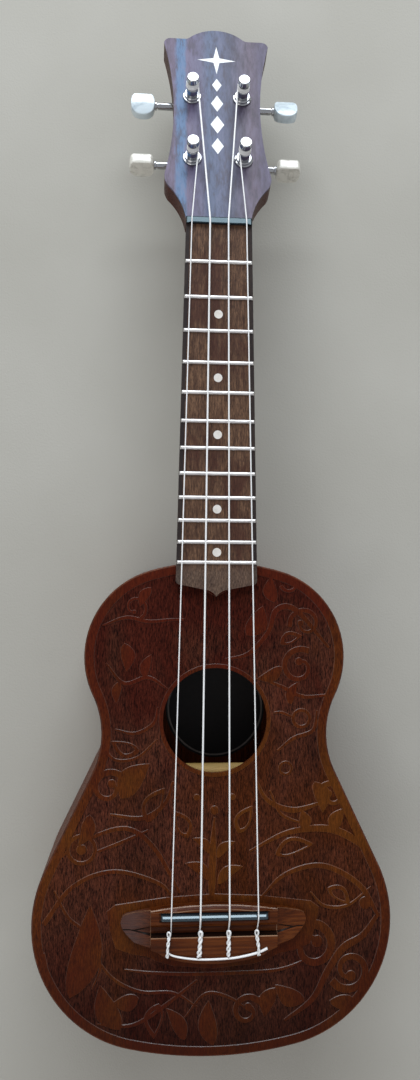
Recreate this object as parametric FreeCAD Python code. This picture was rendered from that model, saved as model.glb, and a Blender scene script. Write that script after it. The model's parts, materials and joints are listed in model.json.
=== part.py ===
"""Soprano ukulele, one STEP file per sub-part, in millimetres.

Frame: +Y runs from the tail of the body to the tip of the head, +X to the right when the strings face
the viewer and the head is up, +Z out of the soundboard. The back rests on z = 0, and the origin is
the middle of the whole instrument's footprint.
"""
import FreeCAD, Part
import math
import os

from FreeCAD import Placement, Rotation, Vector

# ---- driving dimensions: lengths along the neck are measured from the front face of the nut ----
SCALE_LENGTH = 346.0
FRET_COUNT = 12
BODY_TOP = -172.4
BODY_TAIL = -418.5
HEAD_LENGTH = 124.0
HEAD_TILT = 14.0
NUT_THICKNESS = 4.0
VENEER_THICKNESS = 1.2

BODY_DEPTH = 62.0
PLATE_THICKNESS = 1.8
SIDE_THICKNESS = 1.7
UPPER_HALF_WIDTH, UPPER_RADIUS, UPPER_AT = 66.0, 45.0, -220.5
WAIST_HALF_WIDTH, WAIST_AT = 57.0, -259.5
LOWER_HALF_WIDTH, LOWER_RADIUS, LOWER_AT = 90.2, 62.4, -353.0
PLATE_EDGE_ROUND = 0.8
SOUND_HOLE_AT, SOUND_HOLE_RADIUS = -252.6, 26.3

LINING_WIDTH, LINING_HEIGHT = 4.5, 6.0
NECK_BLOCK_HALF_WIDTH, NECK_BLOCK_END = 27.0, -194.0
TAIL_BLOCK_HALF_WIDTH, TAIL_BLOCK_START = 24.0, -406.0
TOP_BRACE_WIDTH, TOP_BRACE_HEIGHT = 8.0, 9.0
UPPER_TOP_BRACE_AT, LOWER_TOP_BRACE_AT = -217.0, -280.5
BACK_BRACE_WIDTH, BACK_BRACE_HEIGHT = 7.0, 8.0
BACK_BRACES_AT = (-215.0, -330.0)
BRACE_END_TAPER = 24.0
BRACE_END_HEIGHT = 3.0
FAN_BRACE_WIDTH, FAN_BRACE_HEIGHT = 5.0, 5.5
FAN_BRACE_START, FAN_BRACE_END = -290.0, -396.0
FAN_BRACE_SPREAD = 8.0
BRIDGE_PATCH = (46.0, -374.0, -337.0, 1.8)  # half width, tail-side edge, head-side edge, thickness
LABEL_CENTRE, LABEL_RADIUS, LABEL_THICKNESS = (4.5, -256.7), 28.6, 0.3

NECK_HALF_WIDTH_NUT, NECK_HALF_WIDTH_TWELFTH = 16.95, 20.35
FRETBOARD_THICKNESS = 3.6
FRETBOARD_SIDE_END, FRETBOARD_TIP = -182.0, -190.1
FRET_WIDTH, FRET_HEIGHT = 2.0, 0.9
TANG_WIDTH, TANG_DEPTH = 0.6, 1.6
FRET_END_GAP, FRET_END_BEVEL = 0.15, 0.7
MARKED_FRETS = (3, 5, 7, 10, 12)
MARKER_RADIUS, MARKER_THICKNESS = 2.2, 0.8

HEAD_THICKNESS = 10.6
POST_OFFSET = 13.6
LOWER_POST_AT, UPPER_POST_AT = 37.0, 77.3  # along the head from the back of the nut

NUT_HEIGHT = 1.6  # above the fretboard
NUT_STRING_CLEARANCE = 0.3  # from the fret tops to the strings, at the nut
SADDLE_AT, SADDLE_THICKNESS, SADDLE_HALF_LENGTH = -347.2, 3.0, 26.5
SADDLE_HEIGHT = 9.0  # above the soundboard
SADDLE_SLOT_FLOOR = 2.4
BRIDGE_HEIGHT = 6.2
BLOCK_HALF_LENGTH = 31.3  # of the raised middle, between the two hollowed wings
WING_ROOT_HEIGHT, WING_TIP_HEIGHT = 3.6, 2.2
CHANNEL_FRONT, CHANNEL_FLOOR, CHANNEL_HALF_LENGTH = -352.5, 2.4, 41.5
TIE_BLOCK_FRONT = -357.1
TIE_BLOCK_SLOPE_START, TIE_BLOCK_REAR_HEIGHT = -361.0, 3.8
TIE_HOLE_FRONT, TIE_HOLE_BACK = 3.4, 2.2
BELLY_END, BELLY_SIDE_AT, BELLY_SIDE_X = -371.8, -367.7, 24.3
STRING_GAP = 0.05

# name: (radius, x at the nut, x at the saddle, side of its post, place of its post along the head)
STRINGS = {
    "g": (0.31, -14.0, -21.3, -1, LOWER_POST_AT),
    "c": (0.46, -4.7, -7.1, -1, UPPER_POST_AT),
    "e": (0.41, 4.7, 7.1, 1, UPPER_POST_AT),
    "a": (0.33, 14.0, 21.3, 1, LOWER_POST_AT),
}

# Each tuner's own frame: Z along the post, zero at the face of the head's wood, under the veneer.
GEAR_TEETH = 14
GEAR_MODULE = 0.9
WORM_PITCH_RADIUS = 2.9
WORM_TURNS = 2.4
TOOTH_SHARE = 0.37  # of the pitch; the rest is gap, which gives the backlash
GEAR_ADDENDUM, GEAR_DEDENDUM = 0.8, 1.1
WORM_ADDENDUM, WORM_DEDENDUM = 0.85, 1.05
FLANK_ANGLE = 20.0
GEAR_THICKNESS = 3.0
WORM_DEPTH = 4.8  # from the head's back to the worm's axis
PLATE_SHEET = 0.9
PLATE_HALF_WIDTH = 5.6
PLATE_BEHIND, PLATE_AHEAD = -11.5, 18.0
EAR_INNER, EAR_THICKNESS, EAR_HALF_LENGTH = 4.6, 1.0, 2.9
SCREWS_AT = (-9.0, 15.3)
RUNNING_CLEARANCE = 0.06
POST_RADIUS, POST_WAIST_RADIUS, POST_CAP_RADIUS = 3.0, 2.5, 3.2
POST_WAIST = (6.2, 10.4)  # above the veneer
POST_HEIGHT = 13.0
POST_HOLE_RADIUS, POST_HOLE_HEIGHT = 0.7, 9.4
COLLAR_RADIUS, SPIGOT_RADIUS = 4.0, 2.0
BUSHING_RADIUS, BUSHING_LENGTH = 4.0, 8.0
SHAFT_RADIUS = 2.0  # outside the plate
BUTTON_START, BUTTON_END = 20.0, 33.6  # out along the worm's axis from the post's axis
BUTTON_WIDTH, BUTTON_DEPTH, BUTTON_DOME = 14.0, 6.6, 26.0
BUTTON_FLAT = 5.5  # from its shaft's axis to its flat long side
BUTTON_SQUARENESS = 2.5  # exponent of the superellipse that outlines the button
BUTTON_TURNS = {"g": 94.0, "c": 9.0, "e": -13.0, "a": 91.0}  # how far each button is turned at rest
WINDING_HEIGHT = 6.7  # of its first turn, above the veneer
WINDING_RISE = 2.6  # from its first turn to its last
WINDING_RUNS = 20  # short straight runs in each turn

# ---- places worked out from them ----
TILT = math.radians(HEAD_TILT)
HEAD_REACH = NUT_THICKNESS + HEAD_LENGTH * math.cos(TILT) + VENEER_THICKNESS * math.sin(TILT)
NUT_Y = (-BODY_TAIL - HEAD_REACH) / 2
TOP_Z = BODY_DEPTH
FRETBOARD_Z = TOP_Z + FRETBOARD_THICKNESS
FRET_Z = FRETBOARD_Z + FRET_HEIGHT
SADDLE_Z = TOP_Z + SADDLE_HEIGHT
HEAD = Placement(Vector(0, NUT_Y + NUT_THICKNESS, TOP_Z), Rotation(Vector(1, 0, 0), -HEAD_TILT))
Z_AXIS = Vector(0, 0, 1)

parts = {}


# ---- small helpers ----
def along(distance):
    """Row-frame y of a place measured from the front of the nut."""
    return NUT_Y + distance


def box(x0, x1, y0, y1, z0, z1):
    return Part.makeBox(x1 - x0, y1 - y0, z1 - z0, Vector(x0, y0, z0))


def line(start, end):
    return Part.LineSegment(start, end).toShape()


def arc(start, middle, end):
    return Part.Arc(start, middle, end).toShape()


def mirrored(edges):
    """The edges, and the same edges on the other side of the centre line."""
    return edges + [edge.mirror(Vector(), Vector(1, 0, 0)) for edge in edges]


def face_of(edges):
    return Part.Face(Part.Wire(Part.__sortEdges__(edges)))


def prism(edges, height):
    return face_of(edges).extrude(Vector(0, 0, height))


def polygon_prism(corners, direction):
    """Corners in one plane, extruded along a direction."""
    return Part.Face(Part.makePolygon(corners + corners[:1])).extrude(direction)


def turned(profile):
    """Solid of revolution about Z from its (radius, height) corners."""
    corners = [Vector(radius, 0, height) for radius, height in profile]
    return Part.Face(Part.makePolygon(corners + corners[:1])).revolve(Vector(), Z_AXIS, 360)


def joined(shapes):
    return shapes[0].multiFuse(shapes[1:]).removeSplitter()


def on_head(shape):
    """Move a shape from the head's frame (x, along the head, out of its face) into the row's frame."""
    moved = shape.copy()
    moved.Placement = HEAD.multiply(shape.Placement)
    return moved


def neck_half_width(distance):
    """Half width of neck and fretboard at a distance from the nut (negative towards the body)."""
    twelfth = -SCALE_LENGTH / 2
    growth = (NECK_HALF_WIDTH_TWELFTH - NECK_HALF_WIDTH_NUT) * distance / twelfth
    return NECK_HALF_WIDTH_NUT + growth


def fret_at(number):
    return -(SCALE_LENGTH - SCALE_LENGTH / 2 ** (number / 12))


# ---- sound box ----
def body_half(inset, z):
    """Edges of the right half of the body's outline, this far inside the outer edge."""
    top, tail = along(BODY_TOP), along(BODY_TAIL)
    upper = Vector(UPPER_HALF_WIDTH - UPPER_RADIUS, along(UPPER_AT), z)
    lower = Vector(LOWER_HALF_WIDTH - LOWER_RADIUS, along(LOWER_AT), z)

    def end_circle(reach, bout, bout_radius):
        """Radius of a circle centred on the axis that the bout's circle touches from inside."""
        return (bout.x ** 2 + reach ** 2 - bout_radius ** 2) / (2 * (reach - bout_radius))

    shoulder_radius = end_circle(top - upper.y, upper, UPPER_RADIUS)
    shoulder = Vector(0, top - shoulder_radius, z)
    seat_radius = end_circle(lower.y - tail, lower, LOWER_RADIUS)
    seat = Vector(0, tail + seat_radius, z)

    reach = WAIST_HALF_WIDTH - upper.x
    drop = along(WAIST_AT) - upper.y
    waist_radius = (reach ** 2 + drop ** 2 - UPPER_RADIUS ** 2) / (2 * (UPPER_RADIUS - reach))
    waist = Vector(WAIST_HALF_WIDTH + waist_radius, along(WAIST_AT), z)

    # The flank is the straight line that touches the waist circle and the lower bout's circle.
    between = waist - lower
    flank_turn = math.acos((waist_radius + LOWER_RADIUS) / between.Length)
    flank = math.atan2(between.y, between.x) - flank_turn

    def direction(start, end):
        return math.atan2(end.y - start.y, end.x - start.x)

    def round_edge(centre, radius, start, end):
        def point(angle):
            return centre + Vector(math.cos(angle), math.sin(angle), 0) * radius
        return arc(point(start), point((start + end) / 2), point(end))

    shoulder_end = direction(shoulder, upper)
    waist_start = direction(upper, waist)
    seat_start = direction(seat, lower)
    outward = Vector(math.cos(flank), math.sin(flank), 0)
    edges = [
        round_edge(shoulder, shoulder_radius - inset, math.pi / 2, shoulder_end),
        round_edge(upper, UPPER_RADIUS - inset, shoulder_end, waist_start),
        round_edge(waist, waist_radius + inset, waist_start + math.pi, flank + math.pi),
        line(waist - outward * (waist_radius + inset), lower + outward * (LOWER_RADIUS - inset)),
        round_edge(lower, LOWER_RADIUS - inset, flank, seat_start),
        round_edge(seat, seat_radius - inset, seat_start, -math.pi / 2),
    ]
    return edges


def body_prism(inset, z0, z1):
    return prism(mirrored(body_half(inset, z0)), z1 - z0)


def make_sound_box():
    inner_top = TOP_Z - PLATE_THICKNESS
    hole_centre = Vector(0, along(SOUND_HOLE_AT), inner_top - 1)
    hole = Part.makeCylinder(SOUND_HOLE_RADIUS, PLATE_THICKNESS + 2, hole_centre)

    def round_outer_rim(plate, z):
        rim = [e for e in plate.Edges if abs(e.BoundBox.ZMin - z) + abs(e.BoundBox.ZMax - z) < 1e-6]
        return plate.makeFillet(PLATE_EDGE_ROUND, rim)

    top = round_outer_rim(body_prism(0, inner_top, TOP_Z), TOP_Z)
    parts["soundboard"] = top.cut(hole)
    parts["back_plate"] = round_outer_rim(body_prism(0, 0, PLATE_THICKNESS), 0)

    inside = body_prism(SIDE_THICKNESS, PLATE_THICKNESS, inner_top)
    ring = body_prism(0, PLATE_THICKNESS, inner_top).cut(inside)
    reach = LOWER_HALF_WIDTH + 10
    right_half = box(0, reach, along(BODY_TAIL) - 10, along(BODY_TOP) + 10, 0, TOP_Z)
    parts["right_side"] = ring.common(right_half)
    parts["left_side"] = ring.cut(right_half)

    for name, half, start, end in (
            ("neck_block", NECK_BLOCK_HALF_WIDTH, NECK_BLOCK_END, BODY_TOP),
            ("tail_block", TAIL_BLOCK_HALF_WIDTH, BODY_TAIL, TAIL_BLOCK_START)):
        parts[name] = inside.common(box(-half, half, along(start), along(end), 0, TOP_Z))

    for name, z in (("top_linings", inner_top - LINING_HEIGHT), ("back_linings", PLATE_THICKNESS)):
        outer = body_prism(SIDE_THICKNESS, z, z + LINING_HEIGHT)
        inner = body_prism(SIDE_THICKNESS + LINING_WIDTH, z, z + LINING_HEIGHT)
        parts[name] = outer.cut(inner).cut(parts["neck_block"]).cut(parts["tail_block"])


def cross_brace(distance, width, height, z_glue, away):
    """Brace across the box, glued at z_glue, standing away from the plate (+1 up, -1 down)."""
    y0, y1 = along(distance - width / 2), along(distance + width / 2)
    reach = LOWER_HALF_WIDTH
    lining = SIDE_THICKNESS + LINING_WIDTH
    free = z_glue + away * height
    bar = box(-reach, reach, y0, y1, min(z_glue, free), max(z_glue, free))
    bar = bar.common(body_prism(lining, 0, TOP_Z))
    half = bar.BoundBox.XMax
    for side in (-1, 1):
        scoop = polygon_prism(
            [Vector(side * (half - BRACE_END_TAPER), y0, free),
             Vector(side * (half + 1), y0, free),
             Vector(side * (half + 1), y0, z_glue + away * BRACE_END_HEIGHT)],
            Vector(0, width, 0))
        bar = bar.cut(scoop)
    return bar


def make_bracing():
    inner_top = TOP_Z - PLATE_THICKNESS
    for name, at in (("upper_top_brace", UPPER_TOP_BRACE_AT), ("lower_top_brace", LOWER_TOP_BRACE_AT)):
        parts[name] = cross_brace(at, TOP_BRACE_WIDTH, TOP_BRACE_HEIGHT, inner_top, -1)
    parts["back_braces"] = Part.makeCompound(
        [cross_brace(at, BACK_BRACE_WIDTH, BACK_BRACE_HEIGHT, PLATE_THICKNESS, 1) for at in BACK_BRACES_AT])

    half, tail_side, head_side, thickness = BRIDGE_PATCH
    patch = box(-half, half, along(tail_side), along(head_side), inner_top - thickness, inner_top)
    parts["bridge_patch"] = patch

    fans = []
    length = FAN_BRACE_START - FAN_BRACE_END
    low = inner_top - FAN_BRACE_HEIGHT
    for turn in (-1, 0, 1):
        bar = box(-FAN_BRACE_WIDTH / 2, FAN_BRACE_WIDTH / 2, -length, 0, low, inner_top)
        lower_edges = [e for e in bar.Edges if e.BoundBox.ZMax < low + 1e-6 and e.BoundBox.YLength > 1]
        bar = bar.makeFillet(FAN_BRACE_WIDTH * 0.4, lower_edges)
        bar.rotate(Vector(), Z_AXIS, turn * FAN_BRACE_SPREAD)
        bar.translate(Vector(turn * FAN_BRACE_SPREAD * 1.6, along(FAN_BRACE_START), 0))
        fans.append(bar.cut(patch))
    parts["fan_braces"] = Part.makeCompound(fans)

    label_x, label_at = LABEL_CENTRE
    parts["blank_label"] = Part.makeCylinder(
        LABEL_RADIUS, LABEL_THICKNESS, Vector(label_x, along(label_at), PLATE_THICKNESS))


# ---- neck and head ----
def head_half():
    """Edges of the right half of the head's outline, in the head's frame, nut end open."""
    def at(x, s):
        return Vector(x, s, 0)

    nut_corner = at(NECK_HALF_WIDTH_NUT, 0)
    flare_end = at(26.2, 19.5)
    ear_end = at(27.6, 29.0)
    corner_start = at(28.9, 113.9)
    corner_end = at(24.9, 117.2)
    step = at(17.8, 117.2)
    dome_start = at(14.4, 118.5)
    return [
        line(at(0, 0), nut_corner),
        arc(nut_corner, at(19.6, 9.2), flare_end),
        arc(flare_end, at(28.1, 24.4), ear_end),
        arc(ear_end, at(23.4, 69.5), corner_start),
        arc(corner_start, at(27.7, 116.3), corner_end),
        line(corner_end, step),
        arc(step, at(16.0, 117.5), dome_start),
        arc(dome_start, at(7.7, 122.6), at(0, HEAD_LENGTH)),
    ]


def head_prism(h0, h1):
    shape = prism(mirrored(head_half()), h1 - h0)
    shape.translate(Vector(0, 0, h0))
    return shape


def neck_section(distance, half_width, bottom, roundness, narrowing):
    """D-shaped wire across the neck: flat on top, rounded below, narrower towards the bottom."""
    depth = TOP_Z - bottom
    steps = 12
    points = []
    for step in range(steps + 1):
        turn = math.pi * step / steps
        down = math.sin(turn) ** roundness
        across = math.copysign(abs(math.cos(turn)) ** roundness, math.cos(turn))
        x = half_width * across * (1 - narrowing * down)
        points.append(Vector(x, along(distance), TOP_Z - depth * down))
    curve = Part.BSplineCurve()
    curve.interpolate(points)
    return Part.Wire([curve.toShape(), line(points[-1], points[0])])


def make_neck():
    # distance from the nut, bottom z, roundness, narrowing; the last four shape the heel
    stations = [
        (24.0, 46.4, 0.95, 0.0), (10.0, 46.4, 0.95, 0.0), (-8.0, 46.6, 0.95, 0.0), (-70.0, 45.8, 0.95, 0.0),
        (-125.0, 44.6, 0.95, 0.0), (-146.0, 40.5, 0.93, 0.04), (-159.0, 30.0, 0.88, 0.14),
        (-168.0, 16.5, 0.8, 0.26), (-180.0, 8.0, 0.72, 0.34),
    ]
    sections = []
    for at, bottom, roundness, narrowing in stations:
        half_width = min(neck_half_width(at), NECK_HALF_WIDTH_TWELFTH) - 0.05
        sections.append(neck_section(at, half_width, bottom, roundness, narrowing))
    shaft = Part.makeLoft(sections, True)
    above_head = on_head(box(-60, 60, 0, 80, 0, 40))
    shaft = shaft.cut(above_head).cut(body_prism(0, -5, TOP_Z + 5))
    head = on_head(head_prism(-HEAD_THICKNESS, 0))
    neck = shaft.fuse(head)
    veneer = head_prism(0, VENEER_THICKNESS)
    for _, _, _, side, at in STRINGS.values():
        low = Vector(side * POST_OFFSET, at, -HEAD_THICKNESS - 2)
        bore = Part.makeCylinder(BUSHING_RADIUS, HEAD_THICKNESS + 6, low)
        neck = neck.cut(on_head(bore))
        veneer = veneer.cut(bore)
    parts["neck"] = neck
    behind_nut = box(-60, 60, along(-20), along(NUT_THICKNESS), 0, 2 * TOP_Z)
    parts["head_veneer"] = on_head(veneer).cut(behind_nut)


def make_fretboard():
    def at(x, distance):
        return Vector(x, along(distance), TOP_Z)

    side = at(neck_half_width(FRETBOARD_SIDE_END), FRETBOARD_SIDE_END)
    corner = at(18.4, -184.2)
    hollow = at(6.5, -186.6)
    outline = [
        line(at(0, 0), at(NECK_HALF_WIDTH_NUT, 0)),
        line(at(NECK_HALF_WIDTH_NUT, 0), side),
        arc(side, at(19.9, -183.6), corner),
        line(corner, hollow),
        arc(hollow, at(2.6, -187.7), at(0, FRETBOARD_TIP)),
    ]
    board = prism(mirrored(outline), FRETBOARD_THICKNESS)

    frets = []
    for number in range(1, FRET_COUNT + 1):
        y = along(fret_at(number))
        half = neck_half_width(fret_at(number)) - FRET_END_GAP
        front = Vector(-half, y - FRET_WIDTH / 2, FRETBOARD_Z)
        back = Vector(-half, y + FRET_WIDTH / 2, FRETBOARD_Z)
        crown_edges = [line(front, back), arc(front, Vector(-half, y, FRET_Z), back)]
        crown = face_of(crown_edges).extrude(Vector(2 * half, 0, 0))
        bevel = polygon_prism(
            [Vector(-half, y - FRET_WIDTH, FRETBOARD_Z), Vector(half, y - FRET_WIDTH, FRETBOARD_Z),
             Vector(half - FRET_END_BEVEL, y - FRET_WIDTH, FRET_Z + 0.1),
             Vector(-half + FRET_END_BEVEL, y - FRET_WIDTH, FRET_Z + 0.1)],
            Vector(0, 2 * FRET_WIDTH, 0))
        tang_low = FRETBOARD_Z - TANG_DEPTH
        tang = box(-half, half, y - TANG_WIDTH / 2, y + TANG_WIDTH / 2, tang_low, FRETBOARD_Z)
        board = board.cut(tang)
        frets.append(joined([crown.common(bevel), tang]))
    parts["frets"] = Part.makeCompound(frets)

    markers = []
    for number in MARKED_FRETS:
        middle = along((fret_at(number) + fret_at(number - 1)) / 2)
        marker = Part.makeCylinder(
            MARKER_RADIUS, MARKER_THICKNESS, Vector(0, middle, FRETBOARD_Z - MARKER_THICKNESS))
        board = board.cut(marker)
        markers.append(marker)
    parts["position_markers"] = Part.makeCompound(markers)
    parts["fretboard"] = board


# ---- strings ----
def bent_tube(corners, bends, radius):
    """Round tube along straight runs joined by tangent arcs, one bend radius per inner corner."""
    edges = []
    start = corners[0]
    for before, corner, after, bend in zip(corners, corners[1:], corners[2:], bends):
        back = (before - corner).normalize()
        ahead = (after - corner).normalize()
        half_turn = (math.pi - back.getAngle(ahead)) / 2
        tangent = bend * math.tan(half_turn)
        inward = (back + ahead).normalize()
        middle = corner + inward * (bend / math.cos(half_turn) - bend)
        edges.append(line(start, corner + back * tangent))
        edges.append(arc(corner + back * tangent, middle, corner + ahead * tangent))
        start = corner + ahead * tangent
    edges.append(line(start, corners[-1]))
    section = Part.Wire(Part.makeCircle(radius, corners[0], corners[1] - corners[0]))
    return Part.Wire(edges).makePipeShell([section], True, False)


def bend_corner(start, centre, end, radius):
    """Corner of a path from start to end whose bend of this radius is centred on centre."""
    corner = Vector(centre.x, centre.y, centre.z + radius)
    for _ in range(6):
        back = (start - corner).normalize()
        ahead = (end - corner).normalize()
        half_turn = (math.pi - back.getAngle(ahead)) / 2
        corner = centre - (back + ahead).normalize() * (radius / math.cos(half_turn))
    return corner


def winding_radius(radius):
    return POST_WAIST_RADIUS + radius + STRING_GAP


def string_touch(name):
    """Where a string meets its winding, in the head's frame, and the angle of that place on the post."""
    radius, _, _, side, post_at = STRINGS[name]
    nut = HEAD.inverse().multVec(nut_corner(name))
    to_nut = Vector(nut.x - side * POST_OFFSET, nut.y - post_at, 0)
    turn = math.acos(winding_radius(radius) / to_nut.Length)
    angle = math.atan2(to_nut.y, to_nut.x) - side * turn
    touch = Vector(side * POST_OFFSET, post_at, VENEER_THICKNESS + WINDING_HEIGHT)
    touch += Vector(math.cos(angle), math.sin(angle), 0) * winding_radius(radius)
    return touch, angle


def nut_corner(name):
    radius, nut_x, _, _, _ = STRINGS[name]
    return Vector(nut_x, along(NUT_THICKNESS / 2), FRET_Z + NUT_STRING_CLEARANCE + radius)


def belly_edge(x):
    """Distance from the nut of the bridge's tail-side edge, at this x under the tie block."""
    return BELLY_END + (BELLY_SIDE_AT - BELLY_END) * (x / BELLY_SIDE_X) ** 2


def string_path(name):
    radius, _, saddle_x, _, _ = STRINGS[name]
    tail = Vector(saddle_x, along(belly_edge(saddle_x)), TOP_Z + TIE_HOLE_BACK)
    front = Vector(saddle_x, along(TIE_BLOCK_FRONT + 0.6), TOP_Z + TIE_HOLE_FRONT)
    saddle_axis = Vector(saddle_x, along(SADDLE_AT), SADDLE_Z - SADDLE_THICKNESS / 2)
    nut = nut_corner(name)
    saddle_bend = SADDLE_THICKNESS / 2 + radius + STRING_GAP
    over_saddle = bend_corner(front, saddle_axis, nut, saddle_bend)
    touch, _ = string_touch(name)
    end = HEAD.multVec(touch)
    end += (nut - end).normalize() * 2 * STRING_GAP
    return [tail, front, over_saddle, nut, end], [2.5, saddle_bend, 9.0]


def string_cutter(name):
    """The room that a string needs in the nut and in the tie block."""
    corners, bends = string_path(name)
    corners[0] += (corners[0] - corners[1]).normalize() * 3
    return bent_tube(corners, bends, STRINGS[name][0] + STRING_GAP)


# ---- bridge ----
def make_bridge():
    def at(x, distance, z=TOP_Z):
        return Vector(x, along(distance), z)

    shoulder = at(45.0, -347.4)
    tip_end = at(44.0, -355.9)
    wing_end = at(39.5, -361.0)
    belly_root = at(31.5, -363.3)
    belly_side = at(BELLY_SIDE_X, BELLY_SIDE_AT)
    outline = [
        arc(at(0, -342.3), at(23.0, -343.6), shoulder),
        arc(shoulder, at(46.3, -351.3), tip_end),
        arc(tip_end, at(42.3, -359.0), wing_end),
        line(wing_end, belly_root),
        arc(belly_root, at(27.7, -365.2), belly_side),
        arc(belly_side, at(12.0, belly_edge(12.0)), at(0, BELLY_END)),
    ]
    bridge = prism(mirrored(outline), BRIDGE_HEIGHT)
    top = TOP_Z + BRIDGE_HEIGHT

    # wings, hollowed and lower than the block between them
    for side in (-1, 1):
        inner, outer = side * BLOCK_HALF_LENGTH, side * 48.0
        root = at(inner, -335, TOP_Z + WING_ROOT_HEIGHT)
        tip = at(outer, -335, TOP_Z + WING_TIP_HEIGHT)
        hollow = [
            line(at(inner, -335, top + 1), root),
            arc(root, at((inner + outer) / 2, -335, TOP_Z + WING_TIP_HEIGHT), tip),
            line(tip, at(outer, -335, top + 1)),
            line(at(outer, -335, top + 1), at(inner, -335, top + 1)),
        ]
        bridge = bridge.cut(face_of(hollow).extrude(Vector(0, -40, 0)))

    # the ramp that clears the strings behind the saddle, and the tie block's slope to the rear
    def cut_above(start, end, end_z):
        corners = [at(-60, start, top), at(-60, end, end_z), at(-60, end, top + 1), at(-60, start, top + 1)]
        return polygon_prism(corners, Vector(120, 0, 0))

    bridge = bridge.cut(cut_above(CHANNEL_FRONT + 1.7, CHANNEL_FRONT - 0.1, top - 1.5))
    bridge = bridge.cut(cut_above(TIE_BLOCK_SLOPE_START, BELLY_END, TOP_Z + TIE_BLOCK_REAR_HEIGHT))

    floor = TOP_Z + CHANNEL_FLOOR
    middle = (CHANNEL_FRONT + TIE_BLOCK_FRONT) / 2
    straight = CHANNEL_HALF_LENGTH - 3.5
    channel = [at(-straight, CHANNEL_FRONT, floor), at(straight, CHANNEL_FRONT, floor),
               at(CHANNEL_HALF_LENGTH, middle, floor), at(straight, TIE_BLOCK_FRONT, floor),
               at(-straight, TIE_BLOCK_FRONT, floor), at(-CHANNEL_HALF_LENGTH, middle, floor)]
    bridge = bridge.cut(polygon_prism(channel, Vector(0, 0, BRIDGE_HEIGHT)))

    # saddle: rounded ends and a full round top
    half, radius = SADDLE_HALF_LENGTH, SADDLE_THICKNESS / 2
    low, high = SADDLE_AT - radius, SADDLE_AT + radius
    slot = mirrored([
        line(at(0, low), at(half - radius, low)),
        arc(at(half - radius, low), at(half, SADDLE_AT), at(half - radius, high)),
        line(at(half - radius, high), at(0, high)),
    ])
    blank = prism(slot, SADDLE_HEIGHT)
    blank.translate(Vector(0, 0, SADDLE_SLOT_FLOOR))
    bridge = bridge.cut(blank)
    round_top = box(-half, half, along(low), along(high), TOP_Z, SADDLE_Z - radius)
    rod = Part.makeCylinder(radius, 2 * half, at(-half, SADDLE_AT, SADDLE_Z - radius), Vector(1, 0, 0))
    parts["saddle"] = blank.common(joined([round_top, rod]))

    for name in STRINGS:
        bridge = bridge.cut(string_cutter(name))
    parts["bridge"] = bridge


def make_nut():
    top = FRETBOARD_Z + NUT_HEIGHT
    back = along(NUT_THICKNESS)
    nut = box(-NECK_HALF_WIDTH_NUT, NECK_HALF_WIDTH_NUT, along(0), back, TOP_Z, top)
    top_edges = [e for e in nut.Edges if e.BoundBox.ZMin > top - 0.1]
    rounded = [e for e in top_edges if e.BoundBox.YMin > back - 0.1 or e.BoundBox.XLength < 0.1]
    nut = nut.makeFillet(0.9, rounded)
    for name in STRINGS:
        nut = nut.cut(string_cutter(name))
    parts["nut"] = nut


def make_strings():
    ties = []
    tie_radius = 0.42
    over = TOP_Z + BRIDGE_HEIGHT + tie_radius + STRING_GAP
    for name, (radius, _, saddle_x, _, _) in STRINGS.items():
        corners, bends = string_path(name)
        parts["string_" + name] = bent_tube(corners, bends, radius)

        # the tie: up behind the block, forward over its top, and down beside the string in front of it
        x = saddle_x + radius + tie_radius + STRING_GAP
        edge = belly_edge(x)
        behind = edge - tie_radius - STRING_GAP
        slope = (BRIDGE_HEIGHT - TIE_BLOCK_REAR_HEIGHT) / (TIE_BLOCK_SLOPE_START - BELLY_END)
        rear_top = TOP_Z + TIE_BLOCK_REAR_HEIGHT + slope * (edge - BELLY_END) + tie_radius + STRING_GAP
        front = TIE_BLOCK_FRONT + tie_radius + STRING_GAP
        tie = bent_tube(
            [Vector(x, along(behind), TOP_Z + 1.2), Vector(x, along(behind), rear_top + 0.15),
             Vector(x, along(TIE_BLOCK_SLOPE_START), over + 0.1), Vector(x, along(front), over),
             Vector(x, along(front), TOP_Z + 4.6)],
            [0.7, 2.0, 0.7], tie_radius)
        ties.append(tie)

    # the last tail is led along the back edge of the bridge, past all four ties
    lead = [Vector(x, along(belly_edge(x) - 3 * tie_radius - 2 * STRING_GAP), TOP_Z + 1.9)
            for x in (-24.5, 0, 26.5)]
    section = Part.Wire(Part.makeCircle(tie_radius, lead[0], lead[1] - lead[0]))
    strand = Part.Wire([arc(*lead)]).makePipeShell([section], True, False)
    parts["string_ties"] = Part.makeCompound(ties + [strand])


# ---- tuning machines ----
def worm_thread():
    """Right-handed thread along X, centred, with its crest facing the gear at the middle."""
    pitch = math.pi * GEAR_MODULE
    flank = math.tan(math.radians(FLANK_ANGLE))
    half = TOOTH_SHARE * pitch / 2
    root, tip = WORM_PITCH_RADIUS - WORM_DEDENDUM - 0.2, WORM_PITCH_RADIUS + WORM_ADDENDUM
    root_half = half + flank * (WORM_DEDENDUM + 0.2)
    tip_half = half - flank * WORM_ADDENDUM
    helix = Part.makeHelix(pitch, pitch * WORM_TURNS, root)
    corners = [Vector(root, 0, -root_half), Vector(tip, 0, -tip_half), Vector(tip, 0, tip_half),
               Vector(root, 0, root_half)]
    section = Part.Wire(Part.makePolygon(corners + corners[:1]))
    thread = Part.Wire(helix).makePipeShell([section], True, True)
    thread.rotate(Vector(), Z_AXIS, 270 - 180 * WORM_TURNS)
    thread.translate(Vector(0, 0, -pitch * WORM_TURNS / 2))
    thread.rotate(Vector(), Vector(0, 1, 0), 90)
    return thread


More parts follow.
